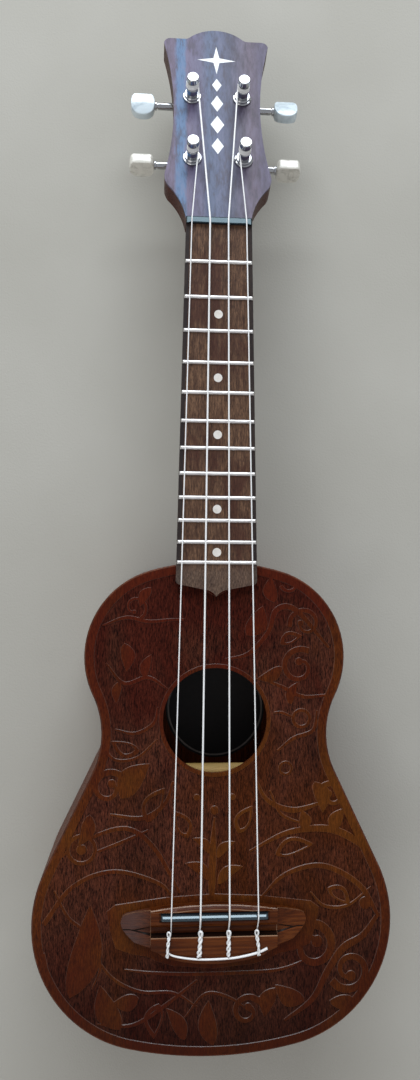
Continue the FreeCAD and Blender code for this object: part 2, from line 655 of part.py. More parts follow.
def gear_section(z, twist):
    """Toothed outline at height z, with a gap facing +Y when the twist is zero."""
    pitch_radius = GEAR_MODULE * GEAR_TEETH / 2
    half = TOOTH_SHARE * math.pi * GEAR_MODULE / 2
    flank = math.tan(math.radians(FLANK_ANGLE))
    root, tip = pitch_radius - GEAR_DEDENDUM, pitch_radius + GEAR_ADDENDUM
    root_half, tip_half = half + flank * GEAR_DEDENDUM, half - flank * GEAR_ADDENDUM
    corners = []
    for tooth in range(GEAR_TEETH):
        middle = math.pi / 2 + (tooth + 0.5) * 2 * math.pi / GEAR_TEETH + twist
        for radius, offset in ((root, -root_half), (tip, -tip_half), (tip, tip_half), (root, root_half)):
            angle = middle + offset / radius
            corners.append(Vector(radius * math.cos(angle), radius * math.sin(angle), z))
    return Part.makePolygon(corners + corners[:1])


def button_blank():
    """Button along +X from its own shaft: an oval plate with one flat long side and two slightly domed faces."""
    half_length, half_width = (BUTTON_END - BUTTON_START) / 2, BUTTON_WIDTH / 2
    middle = BUTTON_START + half_length
    steps = 24
    points = []
    for step in range(steps):
        turn = 2 * math.pi * step / steps
        x = math.copysign(abs(math.cos(turn)) ** (2 / BUTTON_SQUARENESS), math.cos(turn))
        y = math.copysign(abs(math.sin(turn)) ** (2 / BUTTON_SQUARENESS), math.sin(turn))
        points.append(Vector(middle + half_length * x, half_width * y, -BUTTON_DEPTH / 2))
    outline = Part.BSplineCurve()
    outline.interpolate(points, PeriodicFlag=True)
    button = Part.Face(Part.Wire(outline.toShape())).extrude(Vector(0, 0, BUTTON_DEPTH))
    for face_side in (-1, 1):
        axis = Vector(0, 0, face_side * (BUTTON_DEPTH / 2 - BUTTON_DOME))
        button = button.common(Part.makeCylinder(BUTTON_DOME, 2 * BUTTON_END, axis, Vector(1, 0, 0)))
    flat = Part.makeBox(2 * BUTTON_END, BUTTON_WIDTH, 2 * BUTTON_DEPTH, Vector(0, BUTTON_FLAT, -BUTTON_DEPTH))
    return button.cut(flat)


def make_tuner(name):
    radius, _, _, side, post_at = STRINGS[name]
    back = -HEAD_THICKNESS
    face = VENEER_THICKNESS
    pitch_radius = GEAR_MODULE * GEAR_TEETH / 2
    worm_y = pitch_radius + WORM_PITCH_RADIUS
    worm_z = back - WORM_DEPTH
    gear_low = worm_z - GEAR_THICKNESS / 2
    gear_high = worm_z + GEAR_THICKNESS / 2

    on_post = Placement(Vector(side * POST_OFFSET, post_at, 0), Rotation())

    def place(shape):
        moved = shape.copy()
        moved.Placement = on_post.multiply(shape.Placement)
        return on_head(moved)

    # base plate with two ears for the worm
    plate = box(-PLATE_HALF_WIDTH, PLATE_HALF_WIDTH, PLATE_BEHIND, PLATE_AHEAD, back - PLATE_SHEET, back)
    plate = plate.makeFillet(2.4, [e for e in plate.Edges if e.BoundBox.ZLength > 0.5])
    plate = plate.cut(Part.makeCylinder(POST_RADIUS + RUNNING_CLEARANCE, 4, Vector(0, 0, back - 3)))
    ears = []
    for ear_side in (-1, 1):
        x0 = ear_side * (EAR_INNER + EAR_THICKNESS / 2) - EAR_THICKNESS / 2
        low, high = worm_y - EAR_HALF_LENGTH, worm_y + EAR_HALF_LENGTH
        stem = box(x0, x0 + EAR_THICKNESS, low, high, worm_z, back)
        crown_start = Vector(x0, worm_y, worm_z)
        crown = Part.makeCylinder(EAR_HALF_LENGTH, EAR_THICKNESS, crown_start, Vector(1, 0, 0))
        ears.append(joined([stem, crown]))
    worm_core = WORM_PITCH_RADIUS - WORM_DEDENDUM
    bearing_start = Vector(-15, worm_y, worm_z)
    bearing = Part.makeCylinder(worm_core + RUNNING_CLEARANCE, 30, bearing_start, Vector(1, 0, 0))
    plate = joined([plate] + ears).cut(bearing)
    for screw_at in SCREWS_AT:
        plate = plate.cut(Part.makeCylinder(1.0, 4, Vector(0, screw_at, back - 2)))
    parts["tuner_plate_" + name] = place(plate)

    # bushing in the face of the head
    bore = POST_RADIUS + RUNNING_CLEARANCE
    bushing = turned([
        (bore, face - BUSHING_LENGTH), (BUSHING_RADIUS, face - BUSHING_LENGTH), (BUSHING_RADIUS, face),
        (5.0, face), (5.0, face + 0.7), (4.7, face + 1.0), (4.3, face + 1.1), (4.3, face + 1.8),
        (3.9, face + 2.2), (bore, face + 2.2)])
    parts["post_bushing_" + name] = place(bushing)

    # string post: collar and spigot behind the plate, waist and cap above the face
    collar_top = back - PLATE_SHEET - 0.1
    waist_low, waist_high = face + POST_WAIST[0], face + POST_WAIST[1]
    tip = face + POST_HEIGHT
    post = turned([
        (0, gear_low), (SPIGOT_RADIUS, gear_low), (SPIGOT_RADIUS, gear_high), (COLLAR_RADIUS, gear_high),
        (COLLAR_RADIUS, collar_top), (POST_RADIUS, collar_top), (POST_RADIUS, waist_low - 0.4),
        (POST_WAIST_RADIUS, waist_low), (POST_WAIST_RADIUS, waist_high - 0.4),
        (POST_CAP_RADIUS, waist_high), (POST_CAP_RADIUS, tip - 0.4), (POST_CAP_RADIUS - 0.4, tip), (0, tip)])
    hole_start = Vector(0, -2 * POST_RADIUS, face + POST_HOLE_HEIGHT)
    post = post.cut(Part.makeCylinder(POST_HOLE_RADIUS, 4 * POST_RADIUS, hole_start, Vector(0, 1, 0)))
    gear_screw = turned([
        (0, gear_low + 2.6), (1.2, gear_low + 2.6), (1.2, gear_low), (2.7, gear_low), (2.7, gear_low - 0.7),
        (2.0, gear_low - 1.3), (0, gear_low - 1.4)])
    gear_screw = gear_screw.cut(box(-3, 3, -0.35, 0.35, gear_low - 2, gear_low - 0.8))
    parts["gear_screw_" + name] = place(gear_screw)
    parts["tuner_post_" + name] = place(post.cut(gear_screw))

    lead_angle = math.atan(GEAR_MODULE / (2 * WORM_PITCH_RADIUS))
    twist = math.tan(lead_angle) * GEAR_THICKNESS / pitch_radius
    toothed = [gear_section(gear_low, -twist / 2), gear_section(gear_high, twist / 2)]
    gear = Part.makeLoft(toothed, True, True)
    parts["tuner_gear_" + name] = place(
        gear.cut(Part.makeCylinder(SPIGOT_RADIUS, GEAR_THICKNESS + 2, Vector(0, 0, gear_low - 1))))

    # worm with its shaft, and the button that turns it
    inner_end = EAR_INNER + EAR_THICKNESS + 0.9
    ear_outer = EAR_INNER + EAR_THICKNESS + 0.15
    ferrule = BUTTON_START - 1.1
    shaft_end = BUTTON_START + 7.0
    shaft = turned([
        (0, -inner_end), (worm_core - 0.3, -inner_end), (worm_core, -inner_end + 0.3),
        (worm_core, ear_outer), (SHAFT_RADIUS, ear_outer), (SHAFT_RADIUS, ferrule - 0.7),
        (1.5, ferrule - 0.6), (1.5, ferrule), (2.3, ferrule + 0.1), (2.3, BUTTON_START),
        (1.4, BUTTON_START), (1.4, shaft_end), (0, shaft_end)])
    shaft.rotate(Vector(), Vector(0, 1, 0), 90)
    if side < 0:
        shaft.rotate(Vector(), Z_AXIS, 180)
    worm = shaft.fuse(worm_thread())
    worm.translate(Vector(0, worm_y, worm_z))
    parts["tuner_worm_" + name] = place(worm)

    button = button_blank()
    button.rotate(Vector(), Vector(1, 0, 0), BUTTON_TURNS[name])
    button = button.mirror(Vector(), Vector(1, 0, 0)) if side < 0 else button
    button = button.cut(shaft)
    button.translate(Vector(0, worm_y, worm_z))
    parts["tuner_button_" + name] = place(button)

    # string wound on the post, upward from where the string arrives; the right-hand posts mirror it
    wind = winding_radius(radius)
    pitch = 2 * radius + STRING_GAP
    _, angle = string_touch(name)
    start = math.degrees(angle) if side < 0 else 180 - math.degrees(angle)
    bends = []
    for run in range(WINDING_RUNS * round(WINDING_RISE / pitch) + 1):
        turns = run / WINDING_RUNS
        turn = 2 * math.pi * turns
        bends.append(Vector(wind * math.cos(turn), wind * math.sin(turn), pitch * turns))
    section = Part.Wire(Part.makeCircle(radius, bends[0], bends[1] - bends[0]))
    winding = Part.makePolygon(bends).makePipeShell([section], True, False, 1)
    winding.rotate(Vector(), Z_AXIS, start)
    if side > 0:
        winding = winding.mirror(Vector(), Vector(1, 0, 0))
    winding.translate(Vector(0, 0, face + WINDING_HEIGHT))
    parts["string_winding_" + name] = place(winding)


def make_tuner_screws():
    screws = []
    head_at = -HEAD_THICKNESS - PLATE_SHEET
    screw = turned([
        (0, -HEAD_THICKNESS + 6.5), (0.9, -HEAD_THICKNESS + 5.0), (0.9, head_at), (1.9, head_at),
        (1.9, head_at - 0.5), (1.2, head_at - 1.1), (0, head_at - 1.2)])
    screw = screw.cut(box(-2, 2, -0.25, 0.25, head_at - 1.4, head_at - 0.7))
    for _, _, _, side, post_at in STRINGS.values():
        for screw_at in SCREWS_AT:
            placed = screw.copy()
            placed.translate(Vector(side * POST_OFFSET, post_at + screw_at, 0))
            screws.append(on_head(placed))
    parts["tuner_screws"] = Part.makeCompound(screws)
    for screw in screws:
        parts["neck"] = parts["neck"].cut(screw)


make_sound_box()
make_bracing()
make_neck()
make_fretboard()
make_bridge()
make_nut()
make_strings()
for string_name in STRINGS:
    make_tuner(string_name)
make_tuner_screws()

os.makedirs("parts", exist_ok=True)
for node, shape in parts.items():
    shape.exportStep("parts/" + node + ".step")
print(len(parts), "nodes")
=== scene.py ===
"""Looks of the soprano ukulele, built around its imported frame. Metres, in the row frame."""

import json
import math

import bmesh
import bpy
import numpy as np
from mathutils import Euler, Matrix, Vector
from mathutils.geometry import delaunay_2d_cdt


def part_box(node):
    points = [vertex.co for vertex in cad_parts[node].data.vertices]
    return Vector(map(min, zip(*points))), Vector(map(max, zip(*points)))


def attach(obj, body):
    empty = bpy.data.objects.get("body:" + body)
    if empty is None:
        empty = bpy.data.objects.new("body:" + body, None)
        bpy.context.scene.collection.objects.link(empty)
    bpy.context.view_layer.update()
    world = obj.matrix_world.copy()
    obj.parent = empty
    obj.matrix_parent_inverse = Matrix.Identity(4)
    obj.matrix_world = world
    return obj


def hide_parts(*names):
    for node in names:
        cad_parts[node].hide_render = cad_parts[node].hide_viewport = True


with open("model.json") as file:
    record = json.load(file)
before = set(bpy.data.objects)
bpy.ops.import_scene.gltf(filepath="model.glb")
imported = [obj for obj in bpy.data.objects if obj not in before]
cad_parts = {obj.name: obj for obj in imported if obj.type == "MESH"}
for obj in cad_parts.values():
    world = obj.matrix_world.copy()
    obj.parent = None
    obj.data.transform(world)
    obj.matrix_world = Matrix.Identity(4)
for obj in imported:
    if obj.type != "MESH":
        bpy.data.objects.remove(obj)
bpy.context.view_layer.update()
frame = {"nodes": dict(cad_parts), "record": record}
nodes = frame["nodes"]

MM = 0.001
NUT_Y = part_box("nut")[0].y
TOP_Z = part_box("soundboard")[1].z
TILT = math.radians(14)
HEAD_ORIGIN = Vector((0, NUT_Y + 4 * MM, TOP_Z))
HEAD_UP = Vector((0, math.cos(TILT), -math.sin(TILT)))
HEAD_OUT = Vector((0, math.sin(TILT), math.cos(TILT)))
VENEER = 1.2
# millimetres in the head's frame: each post's side and place, and its worm's place from it
TUNERS = {"g": (-1, 37.0), "c": (-1, 77.3), "e": (1, 77.3), "a": (1, 37.0)}
POST_OFFSET = 13.6
WORM_AHEAD, WORM_OUT = 9.2, -15.4
STRING_RADII = {"g": 0.31, "c": 0.46, "e": 0.41, "a": 0.33}


def at(x, distance, z):
    """Point from millimetres: across, along from the front of the nut, above the soundboard."""
    return Vector((x * MM, NUT_Y + distance * MM, TOP_Z + z * MM))


def on_head(x, along, out):
    """Point from millimetres in the head's own frame."""
    return HEAD_ORIGIN + Vector((x * MM, 0, 0)) + HEAD_UP * (along * MM) + HEAD_OUT * (out * MM)


def placed(name, data):
    made = bpy.data.objects.new(name, data)
    bpy.context.scene.collection.objects.link(made)
    return made


# ---- camera, light and floor ----
def make_stage():
    camera = placed("camera", bpy.data.cameras.new("camera"))
    camera.data.lens = 26
    camera.data.sensor_width = 36
    camera.location = (-30.85 * MM, NUT_Y - 176.18 * MM, 457.68 * MM)
    camera.rotation_euler = Euler((0.0364, -0.0699, 0.0074), "XYZ")
    bpy.context.scene.camera = camera

    floor_mesh = bpy.data.meshes.new("floor")
    reach, z = 4.0, -0.0002
    floor_mesh.from_pydata([(-reach, -reach, z), (reach, -reach, z), (reach, reach, z), (-reach, reach, z)],
                           [], [(0, 1, 2, 3)])
    floor = placed("floor", floor_mesh)
    floor.data.materials.append(floor_material())

    def area(name, place, target, size, energy, colour):
        light = placed(name, bpy.data.lights.new(name, "AREA"))
        light.data.shape = "RECTANGLE"
        light.data.size, light.data.size_y = size
        light.data.energy = energy
        light.data.color = colour
        light.location = place
        light.rotation_euler = (Vector(target) - Vector(place)).to_track_quat("-Z", "Y").to_euler()

    area("window", (-0.1, 1.35, 0.85), (0, 0, 0.05), (1.5, 0.8), 24, (0.88, 0.94, 1.0))
    area("room", (-0.9, -0.9, 1.3), (0, -0.1, 0.05), (1.2, 1.2), 4, (1.0, 0.95, 0.88))

    world = bpy.data.worlds.new("world")
    world.use_nodes = True
    tree = world.node_tree
    place = tree.nodes.new("ShaderNodeTexCoord")
    split = tree.nodes.new("ShaderNodeSeparateXYZ")
    height = tree.nodes.new("ShaderNodeValToRGB")
    tree.links.new(place.outputs["Generated"], split.inputs[0])
    tree.links.new(split.outputs["Z"], height.inputs["Fac"])
    tree.links.new(height.outputs["Color"], tree.nodes["Background"].inputs["Color"])
    low, high = height.color_ramp.elements
    low.position, low.color = 0.1, (0.62, 0.62, 0.61, 1)
    high.position, high.color = 0.5, (0.93, 0.95, 1.0, 1)
    tree.nodes["Background"].inputs["Strength"].default_value = 0.47
    bpy.context.scene.world = world
    bpy.context.scene.view_settings.view_transform = "Standard"


# ---- materials ----
class Surface:
    """A Principled material and short names for the nodes that feed it."""

    def __init__(self, name, **values):
        self.material = bpy.data.materials.new(name)
        self.material.use_nodes = True
        self.tree = self.material.node_tree
        self.shader = self.tree.nodes["Principled BSDF"]
        for socket, value in values.items():
            self.shader.inputs[socket.replace("_", " ")].default_value = value
        self.place = self.tree.nodes.new("ShaderNodeTexCoord").outputs["Object"]

    def node(self, kind, inputs=(), **settings):
        made = self.tree.nodes.new("ShaderNode" + kind)
        for key, value in settings.items():
            setattr(made, key, value)
        for key, value in dict(inputs).items():
            if isinstance(value, bpy.types.NodeSocket):
                self.tree.links.new(value, made.inputs[key])
            else:
                made.inputs[key].default_value = value
        return made

    def moved(self, scale, turn, shift):
        inputs = {"Vector": self.place, "Scale": scale, "Rotation": turn, "Location": shift}
        return self.node("Mapping", inputs).outputs[0]

    def noise(self, scale, detail, roughness=0.5, distortion=0.0, turn=(0, 0, 0), shift=(0, 0, 0)):
        """Noise with its own scale for each axis, per metre."""
        inputs = {"Vector": self.moved(scale, turn, shift), "Scale": 1.0, "Detail": detail,
                  "Roughness": roughness, "Distortion": distortion}
        return self.node("TexNoise", inputs).outputs["Fac"]

    def ramp(self, value, *stops):
        made = self.node("ValToRGB", {"Fac": value})
        elements = made.color_ramp.elements
        while len(elements) < len(stops):
            elements.new(0.5)
        for element, (position, shade) in zip(elements, stops):
            element.position = position
            element.color = (*shade, 1) if isinstance(shade, tuple) else (shade, shade, shade, 1)
        return made.outputs["Color"]

    def mix(self, factor, first, second):
        made = self.node("Mix", data_type="RGBA")
        for index, value in ((0, factor), (6, first), (7, second)):
            if isinstance(value, bpy.types.NodeSocket):
                self.tree.links.new(value, made.inputs[index])
            elif index:
                made.inputs[index].default_value = (*value, 1)
            else:
                made.inputs[index].default_value = value
        return made.outputs[2]

    def maths(self, operation, first, second=0.0):
        return self.node("Math", {0: first, 1: second}, operation=operation).outputs[0]

    def axis(self, letter):
        return self.node("SeparateXYZ", {"Vector": self.place}).outputs[letter]

    def fade(self, value, start, end, first=0.0, last=1.0):
        """Goes from first to last while the value goes from start to end."""
        inputs = {"Value": value, "From Min": start, "From Max": end, "To Min": first, "To Max": last}
        return self.node("MapRange", inputs).outputs["Result"]

    def bump(self, height, distance, strength=1.0):
        inputs = {"Height": height, "Distance": distance, "Strength": strength}
        return self.node("Bump", inputs).outputs["Normal"]

    def finish(self, colour=None, roughness=None, normal=None):
        for socket, value in (("Base Color", colour), ("Roughness", roughness), ("Normal", normal)):
            if value is not None:
                self.tree.links.new(value, self.shader.inputs[socket])
        return self.material


def srgb(red, green, blue):
    """Linear colour from 0-255 display values."""
    def linear(value):
        value /= 255
        return value / 12.92 if value <= 0.04045 else ((value + 0.055) / 1.055) ** 2.4
    return (linear(red), linear(green), linear(blue))


def floor_material():
    s = Surface("floor_pale", Roughness=0.95)
    patches = s.noise((9, 9, 9), 3)
    colour = s.ramp(patches, (0.3, (0.44, 0.425, 0.375)), (0.7, (0.49, 0.475, 0.425)))
    return s.finish(colour, normal=s.bump(s.noise((900, 900, 900), 2), 0.0004, 0.3))


def wood(name, dark, middle, light, gloss=(0.35, 0.6), grain=(900, 24), pore_share=0.5, relief=0.00006,
         figure=9.0, axes="XY", shine=0.25, painted_reflection=None, **values):
    """Straight-grained wood whose grain runs along the second of the two axes.

    The tint of painted reflection, if given, is (colour, x where it is strongest, x where it ends)."""
    s = Surface(name, Specular_IOR_Level=shine, **values)

    def scale(across, along):
        if axes == "XY":
            return (across, along, across)
        return (along, across, across)

    broad = s.noise(scale(figure * 5, figure), 3, 0.55, 0.4)
    streaks = s.noise(scale(*grain), 3, 0.6, 0.2)
    pore = s.noise(scale(2600, 160), 2, 0.6)
    body = s.ramp(s.mix(0.45, streaks, broad), (0.36, dark), (0.5, middle), (0.64, light))
    pore_mask = s.ramp(pore, (0.36, 1.0), (0.46, 0.0))
    pore_depth = s.maths("MULTIPLY", pore_mask, pore_share)
    colour = s.mix(pore_depth, body, tuple(c * 0.35 for c in dark))
    # painted reflection tinting the wood, strongest at one x and gone at another
    if painted_reflection:
        reflection_colour, strongest, end = painted_reflection
        colour = s.mix(s.fade(s.axis("X"), strongest, end, 0.55, 0.0), colour, reflection_colour)
    rough = s.ramp(s.maths("ADD", s.maths("MULTIPLY", streaks, 0.5), s.maths("MULTIPLY", pore_mask, 0.5)),
                   (0.15, gloss[0]), (0.75, gloss[1]))
    height = s.maths("SUBTRACT", s.maths("MULTIPLY", streaks, 0.5), pore_mask)
    return s.finish(colour, rough, s.bump(height, relief))


def etched_material(name, dark, light, rough, relief, gold, red, threads=(0.6, 1.3), shine=0.05):
    """Top's wood, rough where it is etched away and smoother where it stands; painted shade darkens it towards
    the tail end, away from the window.
    """
    s = Surface(name, Specular_IOR_Level=shine)
    fine = s.noise((1900, 240, 1900), 3, 0.75, 0.2)
    thread = s.noise((3300, 560, 3300), 2, 0.7)
    broad = s.noise((34, 11, 34), 3, 0.5, 0.8)
    along = s.axis("Y")
    # redder round both ends and more golden through the waist
    lean = s.ramp(s.fade(along, NUT_Y - 0.165, NUT_Y - 0.418), (0.0, 0.3), (0.3, 0.38), (0.5, 0.66),
                  (0.72, 0.62), (0.9, 0.46), (1.0, 0.3))
    warm = s.mix(0.42, s.noise((26, 11, 26), 3, 0.6, 0.6, shift=(3.1, 1.7, 0)), lean)
    grain = s.mix(0.42, fine, thread)

    def grained(colour):
        low, high = (tuple(share * c for c in colour) for share in threads)
        return s.ramp(grain, (0.4, low), (0.645, high))

    body = s.ramp(grain, (0.4, dark), (0.645, light))
    body = s.mix(s.ramp(broad, (0.4, 0.0), (0.65, 0.4)), body, tuple(0.6 * c for c in dark))
    body = s.mix(s.ramp(warm, (0.4, 0.75), (0.5, 0.0)), body, grained(red))
    body = s.mix(s.ramp(warm, (0.5, 0.0), (0.62, 0.8)), body, grained(gold))
    # painted shade: the top darkens towards the tail end, away from the window
    tail = s.fade(along, NUT_Y - 0.33, NUT_Y - 0.415, 0.0, 0.62)
    colour = s.mix(tail, body, tuple(0.8 * c for c in dark))
    height = s.mix(0.5, fine, thread)
    return s.finish(colour, s.ramp(fine, (0.3, rough[0]), (0.7, rough[1])), s.bump(height, relief))


def metal(name, colour, rough, scratch=0.000002, **values):
    s = Surface(name, Metallic=1.0, **values)
    smudge = s.noise((260, 260, 260), 3, 0.6)
    fine = s.noise((500, 500, 500), 1, 0.5)
    shade = s.ramp(smudge, (0.3, tuple(0.86 * c for c in colour)), (0.7, colour))
    roughness = s.ramp(s.mix(0.5, smudge, fine), (0.3, rough[0]), (0.7, rough[1]))
    return s.finish(shade, roughness, s.bump(fine, scratch))


def plastic(name, dark, light, rough, scale=300, **values):
    s = Surface(name, **values)
    cloud = s.noise((scale, scale, scale), 3, 0.6, 0.6)
    return s.finish(s.ramp(cloud, (0.3, dark), (0.7, light)),
                    s.ramp(cloud, (0.3, rough[0]), (0.7, rough[1])), s.bump(cloud, 0.00001))


def black_material(name, specular, **values):
    """Black plastic with a cold sheen; its faint blue base and blue-tinted specular are a painted reflection
    of the window.
    """
    return plastic(name, (0.004, 0.009, 0.013), (0.009, 0.018, 0.026), (0.1, 0.18),
                   Specular_Tint=(0.66, 0.9, 1.0, 1.0), Specular_IOR_Level=specular, **values)


def head_face_painted_reflection_material():
    """Satin rosewood with plum streaks; its slate-blue, lilac and pale streaks are partly painted reflection
    of the cool window light, bluer on the left.
    """
    s = Surface("head_rosewood", Coat_Weight=0.1, Coat_Roughness=0.35, Specular_IOR_Level=0.25)
    streaks = s.noise((420, 2.2, 420), 4, 0.65)
    fine = s.noise((1500, 24, 1500), 2, 0.6)
    place = s.fade(s.axis("X"), -0.029, 0.029)
    place = s.maths("ADD", place, s.maths("MULTIPLY", s.maths("SUBTRACT", streaks, 0.5), 0.08))
    # the slate-blue and lilac stops mix the rosewood's own tone with painted reflection of the window
    hue_with_painted_reflection = s.ramp(place, (0.1, srgb(98, 84, 108)), (0.135, srgb(77, 111, 151)), (0.2, srgb(83, 114, 152)),
                 (0.225, srgb(98, 88, 116)), (0.36, srgb(90, 88, 116)), (0.42, srgb(82, 96, 125)),
                 (0.56, srgb(86, 92, 119)), (0.62, srgb(70, 74, 98)), (0.72, srgb(88, 82, 102)),
                 (0.82, srgb(97, 84, 102)), (0.92, srgb(80, 72, 96)))
    dark = s.mix(s.ramp(s.mix(0.2, streaks, fine), (0.38, 0.7), (0.52, 0.0)), hue_with_painted_reflection, srgb(56, 46, 62))
    dark = s.mix(s.ramp(s.mix(0.2, streaks, fine), (0.52, 0.0), (0.66, 0.3)), dark, srgb(128, 124, 148))
    return s.finish(dark, s.ramp(fine, (0.3, 0.36), (0.7, 0.5)), s.bump(fine, 0.00002))


def fretboard_material():
    """Rosewood with a darker, greyer margin down both edges and a greyer end over the body."""
    s = Surface("fretboard_rosewood", Specular_IOR_Level=0.25)
    streaks = s.noise((1500, 170, 1500), 3, 0.75, 0.25)
    pore = s.noise((2500, 520, 2500), 2, 0.7)
    broad = s.noise((70, 26, 70), 3, 0.6, 0.5)
    body = s.ramp(s.mix(0.3, streaks, broad), (0.38, srgb(58, 37, 27)), (0.5, srgb(88, 62, 46)),
                  (0.62, srgb(122, 91, 68)))
    body = s.mix(s.ramp(broad, (0.38, 0.55), (0.5, 0.0)), body, srgb(74, 38, 28))
    pores = s.ramp(pore, (0.38, 0.5), (0.48, 0.0))
    body = s.mix(pores, body, srgb(36, 24, 20))
    across, along = s.axis("X"), s.axis("Y")
    half_width = s.fade(along, NUT_Y, NUT_Y - 0.182, 0.01695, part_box("fretboard")[1].x)
    margin = s.maths("SUBTRACT", half_width, s.maths("ABSOLUTE", across))
    body = s.mix(s.fade(margin, 0.0019, 0.0024, 0.85, 0.0), body, srgb(34, 31, 33))
    end = s.fade(along, NUT_Y - 0.172, NUT_Y - 0.178, 0.0, 0.5)
    body = s.mix(end, body, s.ramp(pore, (0.36, srgb(66, 53, 46)), (0.64, srgb(124, 106, 92))))
    height = s.maths("SUBTRACT", s.maths("MULTIPLY", streaks, 0.5), pores)
    return s.finish(body, s.ramp(streaks, (0.3, 0.42), (0.7, 0.62)), s.bump(height, 0.00005))


def label_material():
    s = Surface("label_card", Roughness=0.6)
    low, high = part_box("blank_label")
    centre = (low + high) / 2
    radius = (high.x - low.x) / 2
    offset = s.node("VectorMath", {0: s.place, 1: (centre.x, centre.y, centre.z)}, operation="DISTANCE")
    share = s.maths("DIVIDE", offset.outputs["Value"], radius)
    paper = s.noise((400, 400, 400), 3)
    face = s.ramp(paper, (0.3, srgb(16, 8, 7)), (0.7, srgb(26, 14, 12)))
    rings = s.ramp(share, (0.0, 0.0), (0.925, 0.0), (0.94, 1.0), (0.955, 1.0), (0.97, 0.0))
    return s.finish(s.mix(rings, face, srgb(150, 140, 132)), normal=s.bump(paper, 0.00003))


def pearl_material(name, dark, light, turn):
    s = Surface(name, Roughness=0.18, Coat_Weight=0.6, Coat_Roughness=0.08, Subsurface_Weight=0.15)
    s.shader.inputs["Subsurface Radius"].default_value = (0.002, 0.002, 0.002)
    swirl = s.noise((90, 160, 90), 3, 0.55, 2.2, turn=turn)
    fine = s.noise((420, 420, 420), 2, 0.5, 1.2)
    brightest = tuple(min(1, 1.08 * c) for c in light)
    colour = s.ramp(s.mix(0.25, swirl, fine), (0.32, dark), (0.5, light), (0.68, brightest))
    return s.finish(colour, normal=s.bump(swirl, 0.00002))


def nylon_material():
    s = Surface("nylon", Roughness=0.28, IOR=1.5, Subsurface_Weight=0.2)
    s.shader.inputs["Subsurface Radius"].default_value = (0.001, 0.001, 0.001)
    tone = s.noise((500, 60, 500), 2)
    return s.finish(s.ramp(tone, (0.3, (0.94, 0.94, 0.93)), (0.7, (1.0, 1.0, 0.99))),
                    normal=s.bump(s.noise((3000, 400, 3000), 1), 0.00001))


def make_materials():
    return {
        "etched_top": wood("top_edge_wood", srgb(60, 26, 12), srgb(88, 42, 20), srgb(112, 58, 28)),
        "body_wood": wood("body_mahogany", srgb(66, 27, 10), srgb(96, 43, 16), srgb(124, 62, 24),
                          figure=7, shine=0.12),
        "neck_wood": wood("neck_mahogany", srgb(52, 20, 13), srgb(76, 32, 20), srgb(100, 48, 30), shine=0.15),
        "brace_wood": wood("brace_spruce", srgb(140, 112, 62), srgb(172, 142, 88), srgb(194, 166, 112),
                           grain=(500, 12), pore_share=0.12, axes="YX"),
        "label_card": label_material(),
        "head_rosewood": head_face_painted_reflection_material(),
        "black_plastic": black_material("black_plastic", 0.6),
        "fretboard_wood": fretboard_material(),
        "fret_wire": metal("fret_wire", (0.97, 0.95, 0.94), (0.34, 0.46), scratch=0.0000005),
        "marker_white": plastic("marker_white", (0.72, 0.68, 0.62), (0.84, 0.80, 0.75), (0.3, 0.45),
                                scale=500),
        # the left wing's grey-mauve tint is a painted reflection of the window
        "bridge_rosewood": wood("bridge_rosewood", srgb(52, 22, 8), srgb(81, 37, 13), srgb(105, 55, 22),
                                gloss=(0.24, 0.4), pore_share=0.3, relief=0.00003, axes="YX",
                                shine=0.12, painted_reflection=(srgb(84, 66, 64), -0.040, -0.0312),
                                Coat_Weight=0.03, Coat_Roughness=0.2),
        "nylon": nylon_material(),
        "chrome_plate": metal("chrome_plate", (0.50, 0.51, 0.53), (0.05, 0.11), scratch=0.000001),
        "gear_metal": metal("gear_metal", (0.62, 0.56, 0.42), (0.25, 0.42)),
        # the blue-grey is partly painted reflection of the sky, on the upper c and e buttons
        "pearloid": pearl_material("pearloid", (0.44, 0.54, 0.60), (0.70, 0.80, 0.85), (0.4, 0.2, 0.3)),
    }


# ---- mesh helpers ----
def add_piece(name, mesh, body="root", replaced=()):
    piece = placed(name, mesh)
    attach(piece, body)
    if replaced:
        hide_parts(*replaced)
    return piece


def mesh_from(work, name, materials, sharp=None):
    """Mesh from a bmesh, smoothed except at edges above the sharp angle in degrees."""
    mesh = bpy.data.meshes.new(name)
    work.to_mesh(mesh)
    work.free()
    for material in materials:
        mesh.materials.append(material)
    if sharp:
        mesh.shade_smooth()
        mesh.set_sharp_from_angle(angle=math.radians(sharp))
    return mesh


def skin(work, rings):
    """Closed skin over rings that have the same number of vertices."""
    for low, high in zip(rings, rings[1:]):
        for i in range(len(low)):
            after = (i + 1) % len(low)
            work.faces.new([low[i], low[after], high[after], high[i]])
    work.faces.new(rings[0][::-1])
    work.faces.new(rings[-1])


def tube(points, radii, closed=False):
    """Vertices and faces of a tube along points; radii is one number or one for each point."""
    sides = 10
    count = len(points)
    if not hasattr(radii, "__len__"):
        radii = [radii] * count
    tangents = []
    for i in range(count):
        if closed:
            tangents.append((points[(i + 1) % count] - points[i - 1]).normalized())
        else:
            tangents.append((points[min(i + 1, count - 1)] - points[max(i - 1, 0)]).normalized())
    across = tangents[0].orthogonal().normalized()
    verts, faces = [], []
    for point, tangent, radius in zip(points, tangents, radii):
        across = (across - tangent * across.dot(tangent)).normalized()
        other = tangent.cross(across)
        for side in range(sides):
            turn = 2 * math.pi * side / sides
            verts.append(point + (across * math.cos(turn) + other * math.sin(turn)) * radius)
    for ring in range(count if closed else count - 1):
        for side in range(sides):
            a, b = ring * sides + side, ring * sides + (side + 1) % sides
            c, d = ((ring + 1) % count) * sides + (side + 1) % sides, ((ring + 1) % count) * sides + side
            faces.append((a, b, c, d))
    if not closed:
        faces.append(tuple(range(sides))[::-1])
        faces.append(tuple(range((count - 1) * sides, count * sides)))
    return verts, faces


